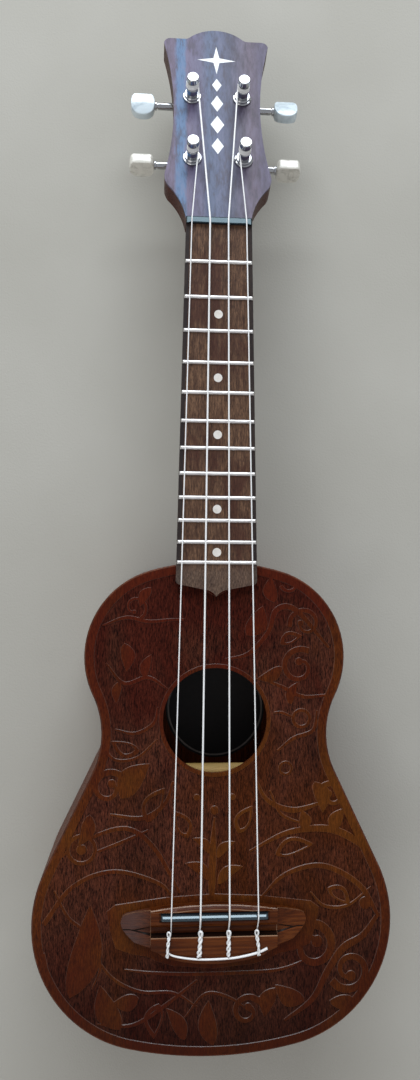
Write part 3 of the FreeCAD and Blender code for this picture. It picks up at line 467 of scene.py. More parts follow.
def merged(name, groups, material, smooth=True):
    """One mesh from several (vertices, faces)."""
    verts, faces = [], []
    for more_verts, more_faces in groups:
        base = len(verts)
        verts.extend(more_verts)
        faces.extend(tuple(base + i for i in face) for face in more_faces)
    mesh = bpy.data.meshes.new(name)
    mesh.from_pydata(verts, [], faces)
    mesh.materials.append(material)
    if smooth:
        mesh.shade_smooth()
    return mesh


def smooth_path(points, steps):
    """Catmull-Rom curve through the points."""
    path = []
    for i in range(len(points) - 1):
        before = points[i - 1] if i else points[0] * 2 - points[1]
        after = points[i + 2] if i + 2 < len(points) else points[-1] * 2 - points[-2]
        for step in range(steps):
            t = step / steps
            path.append(0.5 * ((2 * points[i]) + (points[i + 1] - before) * t
                               + (2 * before - 5 * points[i] + 4 * points[i + 1] - after) * t * t
                               + (3 * points[i] - before - 3 * points[i + 1] + after) * t ** 3))
    path.append(points[-1])
    return path


# ---- the etched top ----
def loops_of(edges):
    """Closed loops of vertex indices from an edge list."""
    following = {}
    for a, b in edges:
        following.setdefault(a, []).append(b)
        following.setdefault(b, []).append(a)
    loops = []
    while following:
        start = next(iter(following))
        loop, current, before = [start], start, None
        while True:
            step = next(n for n in following[current] if n != before)
            if step == start:
                break
            before, current = current, step
            loop.append(current)
        for index in loop:
            del following[index]
        loops.append(loop)
    return loops


def offset_loop(loop, distance):
    """Closed loop of (x, y), moved along its normals; positive is inwards for an anticlockwise loop."""
    points = np.array(loop)
    ahead, behind = np.roll(points, -1, 0), np.roll(points, 1, 0)
    tangent = ahead - behind
    tangent /= np.linalg.norm(tangent, axis=1)[:, None]
    return points + np.stack([-tangent[:, 1], tangent[:, 0]], 1) * distance


def inside(polygon, points):
    """Even-odd test of many points against one polygon."""
    result = np.zeros(len(points), bool)
    low, high = polygon.min(0), polygon.max(0)
    near = np.where((points > low).all(1) & (points < high).all(1))[0]
    px, py = points[near, 0], points[near, 1]
    hits = np.zeros(len(near), bool)
    for (x0, y0), (x1, y1) in zip(polygon, np.roll(polygon, -1, 0)):
        if y0 == y1:
            continue
        crossing = (y0 > py) != (y1 > py)
        hits ^= crossing & (px < (x1 - x0) * (py - y0) / (y1 - y0) + x0)
    result[near] = hits
    return result


def ring_points(x, y, radius, count):
    turns = np.linspace(0, 2 * math.pi, count, endpoint=False)
    return np.stack([x + radius * np.cos(turns), y + radius * np.sin(turns)], 1)


def band(points, widths):
    """Outline of a band along a smooth path; widths has one value for each given point."""
    flat = [Vector((x, y, w)) for (x, y), w in zip(points, widths)]
    path = np.array([p[:] for p in smooth_path(flat, 7)])
    tangent = np.gradient(path[:, :2], axis=0)
    tangent /= np.linalg.norm(tangent, axis=1)[:, None]
    normal = np.stack([-tangent[:, 1], tangent[:, 0]], 1)
    half = np.maximum(path[:, 2:3], 0.12) / 2
    return np.concatenate([path[:, :2] + normal * half, (path[:, :2] - normal * half)[::-1]])


def leaf(x, y, length, width, turn, bend):
    """Pointed leaf from its base at (x, y), turned in degrees from +X."""
    t = np.linspace(0, 1, 15)
    bow = bend * length * np.sin(math.pi * t)
    swell = width / 2 * np.sin(math.pi * t ** 0.8) ** 0.9
    right = np.stack([length * t, bow - swell], 1)
    left = np.stack([length * t, bow + swell], 1)[1:-1][::-1]
    shape = np.concatenate([right, left])
    c, s = math.cos(math.radians(turn)), math.sin(math.radians(turn))
    return shape @ np.array([[c, s], [-s, c]]) + (x, y)


def scroll(x, y, radius, start, turns, width, tail, handed):
    """Spiral band that narrows inwards to a small round bud; returns the band and the bud."""
    count = int(10 * abs(turns)) + 4
    t = np.linspace(0, 1, count)
    angle = math.radians(start) + handed * 2 * math.pi * turns * t
    reach = radius * (1 - (1 - tail) * t)
    points = np.stack([x + reach * np.cos(angle), y + reach * np.sin(angle)], 1)
    widths = width * (1 - 0.55 * t)
    bud = ring_points(points[-1][0], points[-1][1], width * 0.62, 18)
    return [band(points, widths), bud]


def top_pattern():
    """(raised?, outline) in millimetres (x, distance from the nut), painted one over another."""
    shapes = []

    def up(*outlines):
        shapes.extend((True, outline) for outline in outlines)

    def down(*outlines):
        shapes.extend((False, outline) for outline in outlines)

    def stem(points, widths):
        up(band(points, widths))

    def ring(x, y, radius, line):
        up(ring_points(x, y, radius, 26))
        down(ring_points(x, y, radius - line, 26))

    def open_leaf(x, y, length, width, turn, bend):
        """Leaf drawn by its outline only."""
        line = 1.2
        shift = 1.9 * line
        inner_x = x + shift * math.cos(math.radians(turn))
        inner_y = y + shift * math.sin(math.radians(turn))
        up(leaf(x, y, length, width, turn, bend))
        down(leaf(inner_x, inner_y, length - 2.1 * shift, width - 2 * line, turn, bend))

    # outlined leaves, rings and thin tendrils that the larger shapes lie over
    open_leaf(-34, -303, 19, 9.5, 62, 0.08)
    open_leaf(-13, -311, 15, 8, 118, -0.06)
    open_leaf(12, -309, 15, 8, 62, 0.06)
    open_leaf(31, -320, 20, 8.5, 14, 0.1)
    open_leaf(-27, -392, 17, 9, 262, -0.1)
    open_leaf(-38, -268, 15, 7.5, 160, 0.1)
    open_leaf(33, -214, 12, 6, 20, 0.1)
    open_leaf(58, -337, 14, 7, 322, 0.1)
    ring(36, -277, 3.6, 1.1)
    stem([(-79, -336), (-72, -349), (-63, -357), (-56, -372), (-60, -384)], [0.6, 1.3, 1.4, 1.2, 0.5])
    stem([(-60, -366), (-50, -379), (-36, -386), (-20, -387), (-8, -394)], [0.5, 1.3, 1.4, 1.3, 0.5])
    stem([(80, -337), (68, -346), (56, -346), (49, -339)], [0.5, 1.2, 1.3, 0.5])
    stem([(-29, -262), (-39, -271), (-50, -272), (-56, -265)], [0.5, 1.2, 1.3, 0.5])
    stem([(28, -288), (34, -300), (46, -305)], [0.6, 1.3, 0.6])
    stem([(20, -398), (8, -390), (-4, -388), (-14, -399)], [0.5, 1.2, 1.3, 0.5])

    # left side of the lower bout: a ringed disc with two long arcs, and broad leaves
    stem([(-84, -352), (-70, -334), (-50, -327), (-28, -333), (-20, -341)], [2.2, 1.9, 1.8, 1.6, 0.8])
    stem([(-80, -322), (-63, -311), (-44, -306), (-30, -316), (-17, -338)], [1.0, 1.5, 2.0, 2.2, 1.2])
    ring(-66, -316, 7.6, 1.7)
    up(ring_points(-66, -316, 2.4, 20))
    stem([(-58, -317), (-47, -313), (-33, -307)], [1.1, 1.5, 0.8])
    up(leaf(-71, -388, 46, 15, 78, -0.08))
    up(leaf(-46, -404, 24, 11, 115, 0.1))
    stem([(-84, -366), (-79, -385), (-66, -399), (-50, -408)], [1.2, 1.6, 1.7, 1.0])
    stem([(-57, -401), (-40, -402), (-24, -393), (-8, -381)], [0.6, 1.5, 1.7, 0.8])
    stem([(-44, -375), (-30, -377), (-12, -378), (12, -378), (33, -377), (48, -372)],
         [0.5, 1.3, 1.6, 1.6, 1.3, 0.5])
    up(leaf(-37, -389, 13, 8, 190, 0.1))

    # right side of the lower bout: scrolls and leaves off one long stem
    stem([(24, -341), (36, -330), (55, -326), (74, -336), (84, -352)], [0.8, 1.8, 2.4, 2.4, 1.6])
    stem([(18, -318), (38, -309), (60, -308), (78, -318), (84, -328)], [0.8, 2.4, 3.4, 3.0, 1.2])
    up(leaf(60, -309, 13, 7, 62, 0.1))
    up(leaf(46, -308, 10, 6, 100, -0.1))
    up(*scroll(50, -366, 11.5, 100, 1.15, 4.6, 0.3, -1))
    up(*scroll(69, -378, 10.5, 210, 1.2, 4.0, 0.3, 1))
    stem([(84, -350), (76, -361), (66, -367), (58, -378), (50, -392), (36, -402)],
         [1.6, 3.0, 3.6, 3.2, 2.6, 1.2])
    up(leaf(46, -393, 17, 9, 150, 0.12))
    up(leaf(31, -386, 15, 8, 250, -0.12))
    up(leaf(59, -393, 18, 8, 330, 0.16))
    up(*scroll(17, -397, 7.5, 40, 1.1, 3.0, 0.3, 1))
    up(leaf(0, -413, 22, 9, 96, 0.08))
    up(leaf(-14, -410, 18, 7, 120, -0.08))
    up(ring_points(77, -345, 3.0, 20))
    up(ring_points(24, -392, 2.2, 18))

    # between the sound hole and the bridge: a stem with paired leaves
    stem([(-1, -341), (-1, -330), (-0.6, -316), (0, -301)], [2.4, 3.6, 3.0, 0.6])
    up(leaf(-2, -332, 15, 5.6, 146, -0.14), leaf(2, -334, 15, 5.6, 34, 0.14))
    up(leaf(-1.6, -319, 12, 4.6, 140, -0.14), leaf(1.4, -321, 12, 4.6, 40, 0.14))
    up(ring_points(0, -297.5, 2.1, 18))
    up(ring_points(-9, -291, 1.5, 14), ring_points(9, -291, 1.5, 14))
    stem([(-21, -283), (-25, -294), (-36, -301), (-52, -299)], [0.8, 1.8, 2.2, 0.8])
    stem([(21, -283), (27, -293), (40, -298), (56, -294)], [0.8, 2.0, 2.6, 1.0])

    # waist
    up(*scroll(-53, -286, 9.0, 20, 1.1, 3.2, 0.3, 1))
    up(leaf(-47, -291, 22, 12, 50, 0.1))
    up(leaf(-62, -299, 16, 7, 250, 0.1))
    up(leaf(51, -284, 16, 8, 285, 0.14))
    up(*scroll(60, -291, 7.4, 190, 1.1, 3.0, 0.3, -1))
    stem([(32, -268), (40, -262), (50, -258), (52, -248)], [0.8, 1.7, 1.7, 0.8])
    ring(44, -252, 5.0, 1.5)
    stem([(30, -249), (34, -249), (39, -251)], [0.7, 1.2, 0.9])
    up(leaf(38, -245, 12, 5, 70, 0.12))

    # upper bout, left: calm arcs
    stem([(-57, -205), (-45, -201), (-34, -203), (-22, -202), (-16, -202)], [0.6, 1.5, 1.5, 1.1, 0.8])
    stem([(-55, -224), (-46, -234), (-34, -231), (-24, -237)], [0.6, 1.6, 1.6, 0.6])
    up(leaf(-36, -231, 12, 5, 72, 0.1), leaf(-48, -233, 11, 4.6, 262, -0.1))
    stem([(-50, -257), (-40, -259), (-31, -254), (-29, -246)], [0.6, 1.5, 1.5, 0.6])
    up(*scroll(-41, -196, 6.4, 300, 0.9, 1.5, 0.35, 1))
    up(leaf(-46, -214, 14, 7, 275, 0.1))
    up(leaf(-33, -186, 11, 5, 240, -0.1))

    # upper bout, right: a stem with scrolls and leaves
    stem([(5, -222), (17, -219), (27, -208), (31, -197), (41, -197), (58, -216)],
         [0.8, 1.8, 2.2, 2.6, 2.6, 1.2])
    up(leaf(16, -210, 17, 10, 62, -0.12))
    up(*scroll(46, -204, 8.4, 190, 1.05, 2.4, 0.3, -1))
    up(*scroll(43, -226, 9.6, 60, 1.1, 3.0, 0.3, 1))
    up(leaf(34, -226, 14, 6, 205, 0.12))
    up(leaf(30, -193, 13, 7, 98, 0.12))
    stem([(24, -232), (34, -236), (45, -241), (58, -240)], [0.6, 1.6, 1.8, 0.8])
    up(ring_points(53, -190, 1.8, 16))
    up(*scroll(38, -183, 5.0, 200, 0.8, 1.6, 0.35, 1))
    return shapes


def bridge_border():
    """Raised band that follows the bridge's outline."""
    half = [(0, -338.9), (24, -340.2), (49, -343.4), (53.2, -346.5), (51.5, -356), (48.5, -364.5),
            (40.5, -367.5), (33, -368.8), (28, -371.2), (20, -373.6), (0, -375.4)]
    return np.array(half + [(-x, d) for x, d in half[-2:0:-1]])


def fretboard_footprint():
    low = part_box("fretboard")[0]
    half, tip = -low.x / MM, (low.y - NUT_Y) / MM
    return np.array([(-half, -165), (-half, -182.5), (-6.5, -186.6), (0, tip), (6.5, -186.6), (half, -182.5),
                     (half, -165)])


def make_soundboard(materials):
    """CAD sheet with its flat upper face cut away and an etched one in its place."""
    # the walls' finish is lighter than the standing wood: a painted glint added to their real gloss
    etched_finish, standing_finish, wall_painted_glint_finish = 1, 2, 3  # 0 is the sheet's rim and under side
    rim_width, hole_ring_width = 4.0 * MM, 1.9 * MM
    source = nodes["soundboard"].data
    z_top = max(v.co.z for v in source.vertices)
    work = bmesh.new()
    work.from_mesh(source)
    bmesh.ops.remove_doubles(work, verts=work.verts, dist=1e-7)
    flat = [f for f in work.faces if all(abs(v.co.z - z_top) < 1e-6 for v in f.verts)]
    flat_set = set(flat)
    rim_edges = [e for e in work.edges if sum(f in flat_set for f in e.link_faces) == 1]
    index = {v: i for i, v in enumerate(work.verts)}
    verts_list = list(work.verts)
    loops = loops_of([(index[e.verts[0]], index[e.verts[1]]) for e in rim_edges])
    loops = [[verts_list[i].co.xy.copy() for i in loop] for loop in loops]
    loops.sort(key=lambda loop: -max(p.length for p in loop))
    outlines = []
    for loop in loops[:2]:
        points = np.array([p[:] for p in loop])
        turning = np.sum(points[:, 0] * np.roll(points[:, 1], -1) - points[:, 1] * np.roll(points[:, 0], -1))
        outlines.append(points if turning > 0 else points[::-1])
    outer, hole = outlines
    bmesh.ops.delete(work, geom=flat, context="FACES")

    inset = offset_loop(outer, rim_width)
    hole_centre = hole.mean(0)
    hole_radius = np.linalg.norm(hole - hole_centre, axis=1).mean()
    hole_ring = ring_points(hole_centre[0], hole_centre[1], hole_radius + hole_ring_width, 96)

    painted = [(raised, np.array(o) * MM + (0, NUT_Y)) for raised, o in top_pattern()]
    painted.append((True, np.array(hole_ring)))
    painted.append((True, bridge_border() * MM + (0, NUT_Y)))
    painted.append((True, fretboard_footprint() * MM + (0, NUT_Y)))

    points, edges = [], []
    for loop in [outer, hole, inset] + [o for _, o in painted]:
        base = len(points)
        points.extend(Vector((x, y)) for x, y in loop)
        edges.extend((base + i, base + (i + 1) % len(loop)) for i in range(len(loop)))
    verts, _, faces, _, _, _ = delaunay_2d_cdt(points, edges, [], 0, 1e-6, False)
    plane = np.array([v[:] for v in verts])
    triangles = np.array([f[:3] for f in faces])
    centres = plane[triangles].mean(1)
    keep = inside(outer, centres) & ~inside(hole, centres)
    triangles, centres = triangles[keep], centres[keep]
    level = np.zeros(len(triangles), bool)
    for raised, outline in painted:
        level[inside(outline, centres)] = raised
    level[~inside(inset, centres)] = True

    # the etched floor's edges are led away from the standing wood, which leaves sloping walls
    step, slope = 0.26 * MM, 0.27 * MM
    by_edge = {}
    for number, triangle in enumerate(triangles):
        for i in range(3):
            a, b = int(triangle[i]), int(triangle[(i + 1) % 3])
            by_edge.setdefault((min(a, b), max(a, b)), []).append((number, a, b))
    push, walls = {}, []
    for sides in by_edge.values():
        if len(sides) == 2 and level[sides[0][0]] != level[sides[1][0]]:
            number, a, b = sides[0] if level[sides[0][0]] else sides[1]
            along = plane[b] - plane[a]
            away = np.array([along[1], -along[0]]) / max(np.linalg.norm(along), 1e-12)
            if np.dot(centres[number] - plane[a], away) > 0:
                away = -away
            for i in (a, b):
                push[i] = push.get(i, np.zeros(2)) + away
            walls.append((a, b))
    high, low = {}, {}

    def vertex(i, raised):
        table = high if raised else low
        if i not in table:
            x, y = plane[i]
            if raised:
                table[i] = work.verts.new((x, y, z_top))
            else:
                if i in push:
                    x, y = plane[i] + push[i] / max(np.linalg.norm(push[i]), 1e-9) * slope
                table[i] = work.verts.new((x, y, z_top - step))
        return table[i]

    def face_up(corners, finish):
        face = work.faces.new(corners)
        face.material_index = finish
        face.normal_update()
        if face.normal.z < 0:
            face.normal_flip()

    for triangle, raised in zip(triangles, level):
        face_up([vertex(int(i), bool(raised)) for i in triangle], standing_finish if raised else etched_finish)
    for a, b in walls:
        face_up([vertex(a, True), vertex(b, True), vertex(b, False), vertex(a, False)], wall_painted_glint_finish)
    bmesh.ops.remove_doubles(work, verts=work.verts, dist=2e-6)
    mesh = mesh_from(work, "soundboard_etched", materials)
    add_piece("soundboard_etched", mesh, "root", ["soundboard"])


# ---- strings' ties at the bridge ----
# millimetres: place across, lean to the right, radius of a strand
TIES = ((-22.8, -0.9, 0.42), (-7.2, -0.7, 0.6), (6.9, -0.1, 0.54), (21.3, 1.5, 0.44))


def make_ties(material):
    groups = []
    for number, (x, lean, radius) in enumerate(TIES):
        # the loop round the string in front of the tie block
        loop = []
        for step in range(24):
            turn = 2 * math.pi * step / 24
            narrow = 0.75 + 0.25 * math.cos(turn)
            loop.append(at(x - lean * 0.35 + 0.9 * narrow * math.sin(turn), -355.2 + 1.6 * math.cos(turn),
                           7.5 + 0.5 * math.sin(turn) + 0.5 * math.cos(turn)))
        groups.append(tube(loop, radius * MM, closed=True))
        # two strands twisted over the block's top to its rear edge
        spine = [at(x + lean * share, distance, z) for share, distance, z in
                 ((-0.35, -356.6, 7.5), (-0.1, -358.7, 7.4), (0.15, -361.2, 7.3), (0.35, -364.0, 6.9),
                  (0.5, -366.6, 6.3))]
        path = smooth_path(spine, 10)
        for strand in (0, 1):
            twisted = []
            for i, point in enumerate(path):
                share = i / (len(path) - 1)
                turn = math.pi * strand + 2 * math.pi * (1.2 * share + 0.5 * share ** 2) + 1.7 * number
                wide = radius * (1.0 + 0.25 * math.sin(7 * share + 2 * number))
                aside = Vector((wide * math.cos(turn), 0, 0.6 * radius * math.sin(turn)))
                twisted.append(point + aside * MM)
            groups.append(tube(twisted, radius * MM))
    # the last tail, led behind all four ties
    tail = [at(-23.6, -364.2, 5.6), at(-19.0, -366.3, 5.9), at(-7.4, -367.9, 6.1), at(6.8, -367.8, 6.1),
            at(15.0, -366.8, 6.1), at(21.8, -365.2, 6.1), at(26.2, -363.2, 6.4)]
    path = smooth_path(tail, 10)
    groups.append(tube(path, [(0.42 + 0.24 * i / len(path)) * MM for i in range(len(path))]))
    mesh = merged("string_ties_knotted", groups, material)
    add_piece("string_ties_knotted", mesh, "root", ["string_ties"])


# ---- bridge ----
# right half of the bridge's outline, and half lengths of the whole, of its block and of the saddle's slot
HEAD_EDGE = ((0, -342.3), (11.6, -342.6), (23, -343.6), (34, -345.2), (43, -347.0), (45.2, -348.0),
             (46.2, -350.0), (46.3, -351.3))
TAIL_EDGE = ((0, -371.8), (8, -371.4), (16, -370.1), (24.3, -367.7), (27.7, -365.2), (31.5, -363.3),
             (39.5, -361.0), (43.4, -357.2), (45.6, -354.2), (46.3, -351.3))
WING_HALF, BLOCK_HALF, SADDLE_HALF = 46.3, 31.3, 26.5


def make_bridge(materials):
    """Ruled strips between lines that run across the bridge, each line with its own height and finish; the
    finishes are wood, a lighter painted highlight along edges and a dark painted shade in the channel and
    round the saddle's slot.
    """
    wood_finish, painted_highlight_finish, painted_shade_finish = 0, 1, 2

    def edge(table, x):
        xs, ys = zip(*table)
        return float(np.interp(abs(x), xs, ys))

    def crown(x):
        """Height of the bridge's upper face: a raised block, and a hollowed wing on each side."""
        if abs(x) <= BLOCK_HALF:
            return block_top
        share = (abs(x) - BLOCK_HALF) / (WING_HALF - BLOCK_HALF)
        return wing_top - hollow * math.sin(share * math.pi / 2) + tip_rise * share

    block_top, wing_top, hollow, tip_rise, block_side, slot_margin = 6.2, 3.9, 2.0, 0.35, 0.25, 0.7
    wing_start, wing_end = BLOCK_HALF + block_side, WING_HALF - 0.02
    inner = [BLOCK_HALF * i / 24 for i in range(25)] + [SADDLE_HALF, SADDLE_HALF + slot_margin]
    outer = [wing_start + (wing_end - wing_start) * i / 30 for i in range(31)]
    right = sorted(set(inner + outer))
    columns = [-x for x in right[:0:-1]] + right
    channel_end, channel_middle, channel_half, channel_floor, channel_taper = 41.5, -354.8, 2.3, 2.4, 10.0
    tie_block_rear, rear_length, rear_top = -361.0, 10.8, 3.8

    def line_points(x):
        """(distance, height, finish of the strip beyond it) from the tail's edge to the head's edge."""
        on_block = abs(x) <= BLOCK_HALF
        by_saddle = abs(x) <= SADDLE_HALF + slot_margin
        top = crown(x)
        tail, head = edge(TAIL_EDGE, x), edge(HEAD_EDGE, x)
        closing = min(1.0, max(0.0, (channel_end - abs(x)) / channel_taper))
        front, back = channel_middle + channel_half * closing, channel_middle - channel_half * closing
        floor = top - max(0, top - channel_floor) * min(1.0, closing * 3)
        slope = max(0.0, min(1.0, (tie_block_rear - tail) / rear_length))
        rear = top - (top - rear_top) * slope if on_block else top - 0.5 * slope
        bevel = min(1.5 if on_block else 1.0, 0.3 * (head - tail))
        shoulder = top - (1.6 if on_block else 0.7)
        # painted shadow: a dark ring round the saddle's slot
        painted_slot_shadow = painted_shade_finish if by_saddle else wood_finish
        sunk = 0.25 if by_saddle else 0.0
        rows = [(tail, 0.0, wood_finish), (tail, rear - 0.5, wood_finish),
                (tail + 0.35, rear - 0.08, wood_finish), (tail + 0.6, rear, wood_finish),
                (min(tie_block_rear, back - 0.5), top, wood_finish),
                (back - 0.45, top, painted_highlight_finish if on_block else wood_finish),
                (back, top - 0.2, painted_shade_finish), (back + 0.7, floor, wood_finish),
                (front - 0.8, floor, painted_shade_finish), (front, top - (1.5 if on_block else 0.12), wood_finish),
                (front + 0.3, top - (1.3 if on_block else 0.0), wood_finish), (front + 1.6, top, wood_finish),
                (-349.6, top, painted_slot_shadow), (-348.7, top - sunk, wood_finish), (-345.7, top - sunk, painted_slot_shadow),
                (-345.1, top, wood_finish), (head - bevel - 0.4, top, painted_highlight_finish),
                (head - bevel, top - 0.15, wood_finish), (head - 0.45, shoulder, painted_highlight_finish),
                (head, shoulder - 0.4, wood_finish), (head, 0.0, wood_finish)]
        distances = np.maximum.accumulate([min(max(row[0], tail), head) for row in rows])
        return [(distance, max(height, 0), finish) for distance, (_, height, finish) in zip(distances, rows)]

    work = bmesh.new()
    lines = [line_points(x) for x in columns]
    grid = [[work.verts.new(at(x, d, h)) for d, h, _ in line] for x, line in zip(columns, lines)]
    for k in range(len(columns) - 1):
        left_line, right_line = grid[k], grid[k + 1]
        block_end = BLOCK_HALF - 0.1 < abs(columns[k] + columns[k + 1]) / 2 < BLOCK_HALF + 0.24
        outward = lines[k] if abs(columns[k]) > abs(columns[k + 1]) else lines[k + 1]
        for i in range(len(left_line) - 1):
            face = work.faces.new([left_line[i], right_line[i], right_line[i + 1], left_line[i + 1]])
            face.material_index = painted_highlight_finish if block_end and 3 < i < 18 else outward[i][2]
        work.faces.new([left_line[0], left_line[-1], right_line[-1], right_line[0]])
    work.faces.new(grid[0])
    work.faces.new(grid[-1][::-1])
    bmesh.ops.remove_doubles(work, verts=work.verts, dist=2e-6)
    bmesh.ops.dissolve_degenerate(work, edges=work.edges, dist=1e-6)
    bmesh.ops.recalc_face_normals(work, faces=work.faces)
    mesh = mesh_from(work, "bridge_shaped", materials, sharp=24)
    add_piece("bridge_shaped", mesh, "root", ["bridge"])


def make_saddle(material):
    """Bar with a crest near its back, a slope towards the neck and rounded upper ends."""
    low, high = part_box("saddle")
    half, radius = (high.x - low.x) / 2, (high.y - low.y) / 2
    middle = (low + high) / 2
    arc = [math.pi * i / 16 for i in range(17)]
    crest, power, tall = -0.35, 1.33, 1.3 * radius
    section = [(-1.0, None)]
    for a in arc:
        if a <= math.pi / 2:
            section.append((crest - (1 + crest) * math.cos(a), math.sin(a)))
        else:
            forward = abs(math.cos(a)) ** (2 / power)
            section.append((crest + (1 - crest) * forward, math.sin(a) ** (2 / power)))
    section.append((1.0, None))
    stations = [-half + radius * (1 - math.cos(math.pi / 2 * i / 6)) for i in range(7)]
    drops = [1 - math.sin(math.pi / 2 * i / 6) for i in range(7)]
    stations, drops = stations + [-x for x in stations[::-1]], drops + drops[::-1]
    work = bmesh.new()
    rings = []
    for x, drop in zip(stations, drops):
        ring = []
        for y, rise in section:
            if rise is None:
                z = low.z
            else:
                z = high.z - tall + rise * tall - drop * radius * (0.4 + 0.6 * rise)
            ring.append(work.verts.new((middle.x + x, middle.y + y * radius, z)))
        rings.append(ring)
    skin(work, rings)
    bmesh.ops.recalc_face_normals(work, faces=work.faces)
    mesh = mesh_from(work, "saddle_rounded", [material], sharp=40)
    add_piece("saddle_rounded", mesh, "root", ["saddle"])


# ---- windings, buttons, nut and inlay ----
def make_windings(material):
    post_radius, gap, wound_start, wound_height = 2.5, 0.05, 6.7, 2.6
    for name, (side, along) in TUNERS.items():
        radius = STRING_RADII[name]
        reach = post_radius + radius + gap
        pitch = 2 * radius + gap
        turns = round(wound_height / pitch)
        points = []
        for step in range(turns * 28 + 1):
            turn = 2 * math.pi * step / 28
            x = side * POST_OFFSET + reach * math.cos(turn)
            y = along + reach * math.sin(turn) * -side
            points.append(on_head(x, y, VENEER + wound_start + pitch * step / 28))
        mesh = merged(f"winding_{name}", [tube(points, radius * MM)], material)
        add_piece(f"winding_smooth_{name}", mesh, f"post_{name}", [f"string_winding_{name}"])


def make_buttons(materials):
    """Rounded tablets with domed faces and one flat long side, each at its own angle on its shaft."""
    turns = {"g": 94.0, "c": 9.0, "e": -13.0, "a": 91.0}
    start, end, width, depth, flat, dome, power = 20.0, 33.6, 14.0, 6.6, 5.5, 26.0, 2.5
    half, wide = (end - start) / 2, width / 2
    middle = start + half
    count = 56
    # (share of the outline, height); where the height is past the face, the dome sets it
    past = 9
    upper = [(1.0, 1.8), (0.985, 2.25), (0.945, past), (0.88, past), (0.70, past), (0.40, past), (0.10, past)]
    profile = [(share, -z) for share, z in upper[::-1]] + upper
    for name, (side, along) in TUNERS.items():
        work = bmesh.new()

        def outline(share, z):
            ring = []
            for i in range(count):
                turn = 2 * math.pi * i / count
                x = math.copysign(abs(math.cos(turn)) ** (2 / power), math.cos(turn)) * half * share
                y = math.copysign(abs(math.sin(turn)) ** (2 / power), math.sin(turn)) * wide * share
                y = min(y, flat * share)
                face = math.sqrt(dome ** 2 - y ** 2) - (dome - depth / 2)
                ring.append(work.verts.new((middle + x, y, math.copysign(min(abs(z), face), z))))
            return ring

        skin(work, [outline(share, z) for share, z in profile])
        mesh = mesh_from(work, f"button_{name}", [materials[name]], sharp=38)
        mesh.transform(Matrix.Rotation(math.radians(turns[name]), 4, "X"))
        if side < 0:
            mesh.transform(Matrix.Scale(-1, 4, (1, 0, 0)))
            mesh.flip_normals()
        place = on_head(side * POST_OFFSET, along + WORM_AHEAD, WORM_OUT)
        tilt = Matrix.Rotation(-TILT, 4, "X")
        mesh.transform(Matrix.Translation(place) @ tilt @ Matrix.Scale(MM, 4))
        add_piece(f"button_pearl_{name}", mesh, f"worm_{name}", [f"tuner_button_{name}"])


def make_nut(material):
    """The nut's top falls away towards the head."""
    mesh = nodes["nut"].data.copy()
    low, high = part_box("nut")
    slope, level_width, moved_depth, blend = 0.27, 0.5 * MM, 2.2 * MM, 0.8 * MM
    for vertex in mesh.vertices:
        share = min(1, max(0, (vertex.co.z - high.z + moved_depth) / blend))
        vertex.co.z -= share * slope * max(0, vertex.co.y - low.y - level_width)
    mesh.name = "nut_sloped"
    if mesh.has_custom_normals:
        mesh.attributes.remove(mesh.attributes["custom_normal"])
    mesh.shade_flat()
    mesh.materials.clear()
    mesh.materials.append(material)
    add_piece("nut_sloped", mesh, "root", ["nut"])


def make_inlay(material):
    """A four-pointed star with four lozenges below it, let into the head's face."""
    def star(centre, long, short, waist):
        corners = []
        for i in range(8):
            turn = math.pi / 4 * i
            reach = (short, waist, long, waist)[i % 4]
            corners.append((reach * math.cos(turn), centre + reach * math.sin(turn)))
        return corners

    def lozenge(centre, long, short):
        return [(short, centre), (0, centre + long), (-short, centre), (0, centre - long)]

    groups = []
    for corners in (star(103, 9.5, 10.5, 2.3), lozenge(86, 4.4, 2.6), lozenge(73.5, 5.4, 3.3),
                    lozenge(59.5, 5.8, 3.7), lozenge(45.5, 5.2, 3.3)):
        low = [on_head(x, s, 0.9) for x, s in corners]
        high = [on_head(x, s, 1.24) for x, s in corners]
        count = len(corners)
        faces = [tuple(range(count, 2 * count)), tuple(range(count))[::-1]]
        faces += [(i, (i + 1) % count, count + (i + 1) % count, count + i) for i in range(count)]
        groups.append((low + high, faces))
    mesh = merged("head_inlay", groups, material, smooth=False)
    add_piece("head_inlay", mesh)


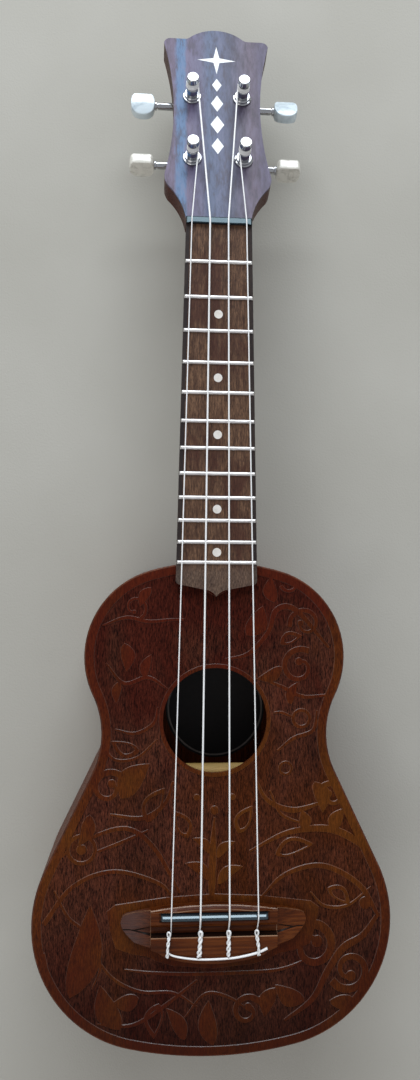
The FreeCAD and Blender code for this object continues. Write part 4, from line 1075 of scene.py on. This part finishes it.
def dress_nodes(materials):
    """Each CAD node that stays takes the material of its slot in the record."""
    for row in frame["record"]["subparts"]:
        slots = nodes[row["node"]].data.materials
        slots.clear()
        slots.append(materials[row["material_slot"]])


materials = make_materials()
dress_nodes(materials)
etched = etched_material("top_etched", srgb(20, 7, 6), srgb(108, 59, 42), (0.6, 0.85), 0.00022,
                         srgb(78, 36, 12), srgb(66, 20, 12), (0.25, 1.55))
standing = etched_material("top_standing", srgb(54, 19, 5), srgb(106, 50, 16), (0.45, 0.65), 0.00006,
                           srgb(98, 53, 13), srgb(80, 23, 10), shine=0.08)
# the cut walls' lighter colour is a painted glint, on top of their real gloss
cut_edge_painted_glint = etched_material("top_cut_edge_painted_glint", srgb(46, 20, 12), srgb(124, 74, 48), (0.18, 0.6), 0.00006,
                           srgb(112, 62, 28), srgb(80, 34, 22), shine=0.5)
make_soundboard([materials["etched_top"], etched, standing, cut_edge_painted_glint])
make_ties(materials["nylon"])
make_bridge([
    materials["bridge_rosewood"],
    # lighter painted highlight on the bridge's edges, and dark painted shade in its channel and round the
    # saddle
    wood("bridge_edge_painted_highlight", srgb(104, 72, 50), srgb(140, 104, 78), srgb(168, 132, 104), gloss=(0.2, 0.35),
         pore_share=0.15, relief=0.00002, axes="YX"),
    wood("bridge_groove_painted_shade", srgb(16, 8, 5), srgb(26, 13, 8), srgb(36, 18, 11), relief=0.00002, axes="YX",
         shine=0.1)])
make_saddle(black_material("saddle_gloss", 0.9, Coat_Weight=0.8, Coat_Roughness=0.08))
make_windings(materials["nylon"])
# the warm copy is a painted reflection of the floor on the lower g and a buttons; the blue-grey one is partly
# painted sky reflection on c and e
pearl_painted_floor_reflection = pearl_material("pearloid_painted_floor_reflection", (0.56, 0.54, 0.47), (0.86, 0.84, 0.76), (1.2, 0.5, 0.1))
make_buttons({"c": materials["pearloid"], "e": materials["pearloid"], "g": pearl_painted_floor_reflection, "a": pearl_painted_floor_reflection})
make_nut(materials["black_plastic"])
make_inlay(plastic("inlay_pearl", (0.70, 0.72, 0.72), (0.90, 0.92, 0.92), (0.15, 0.3), scale=260))
make_stage()
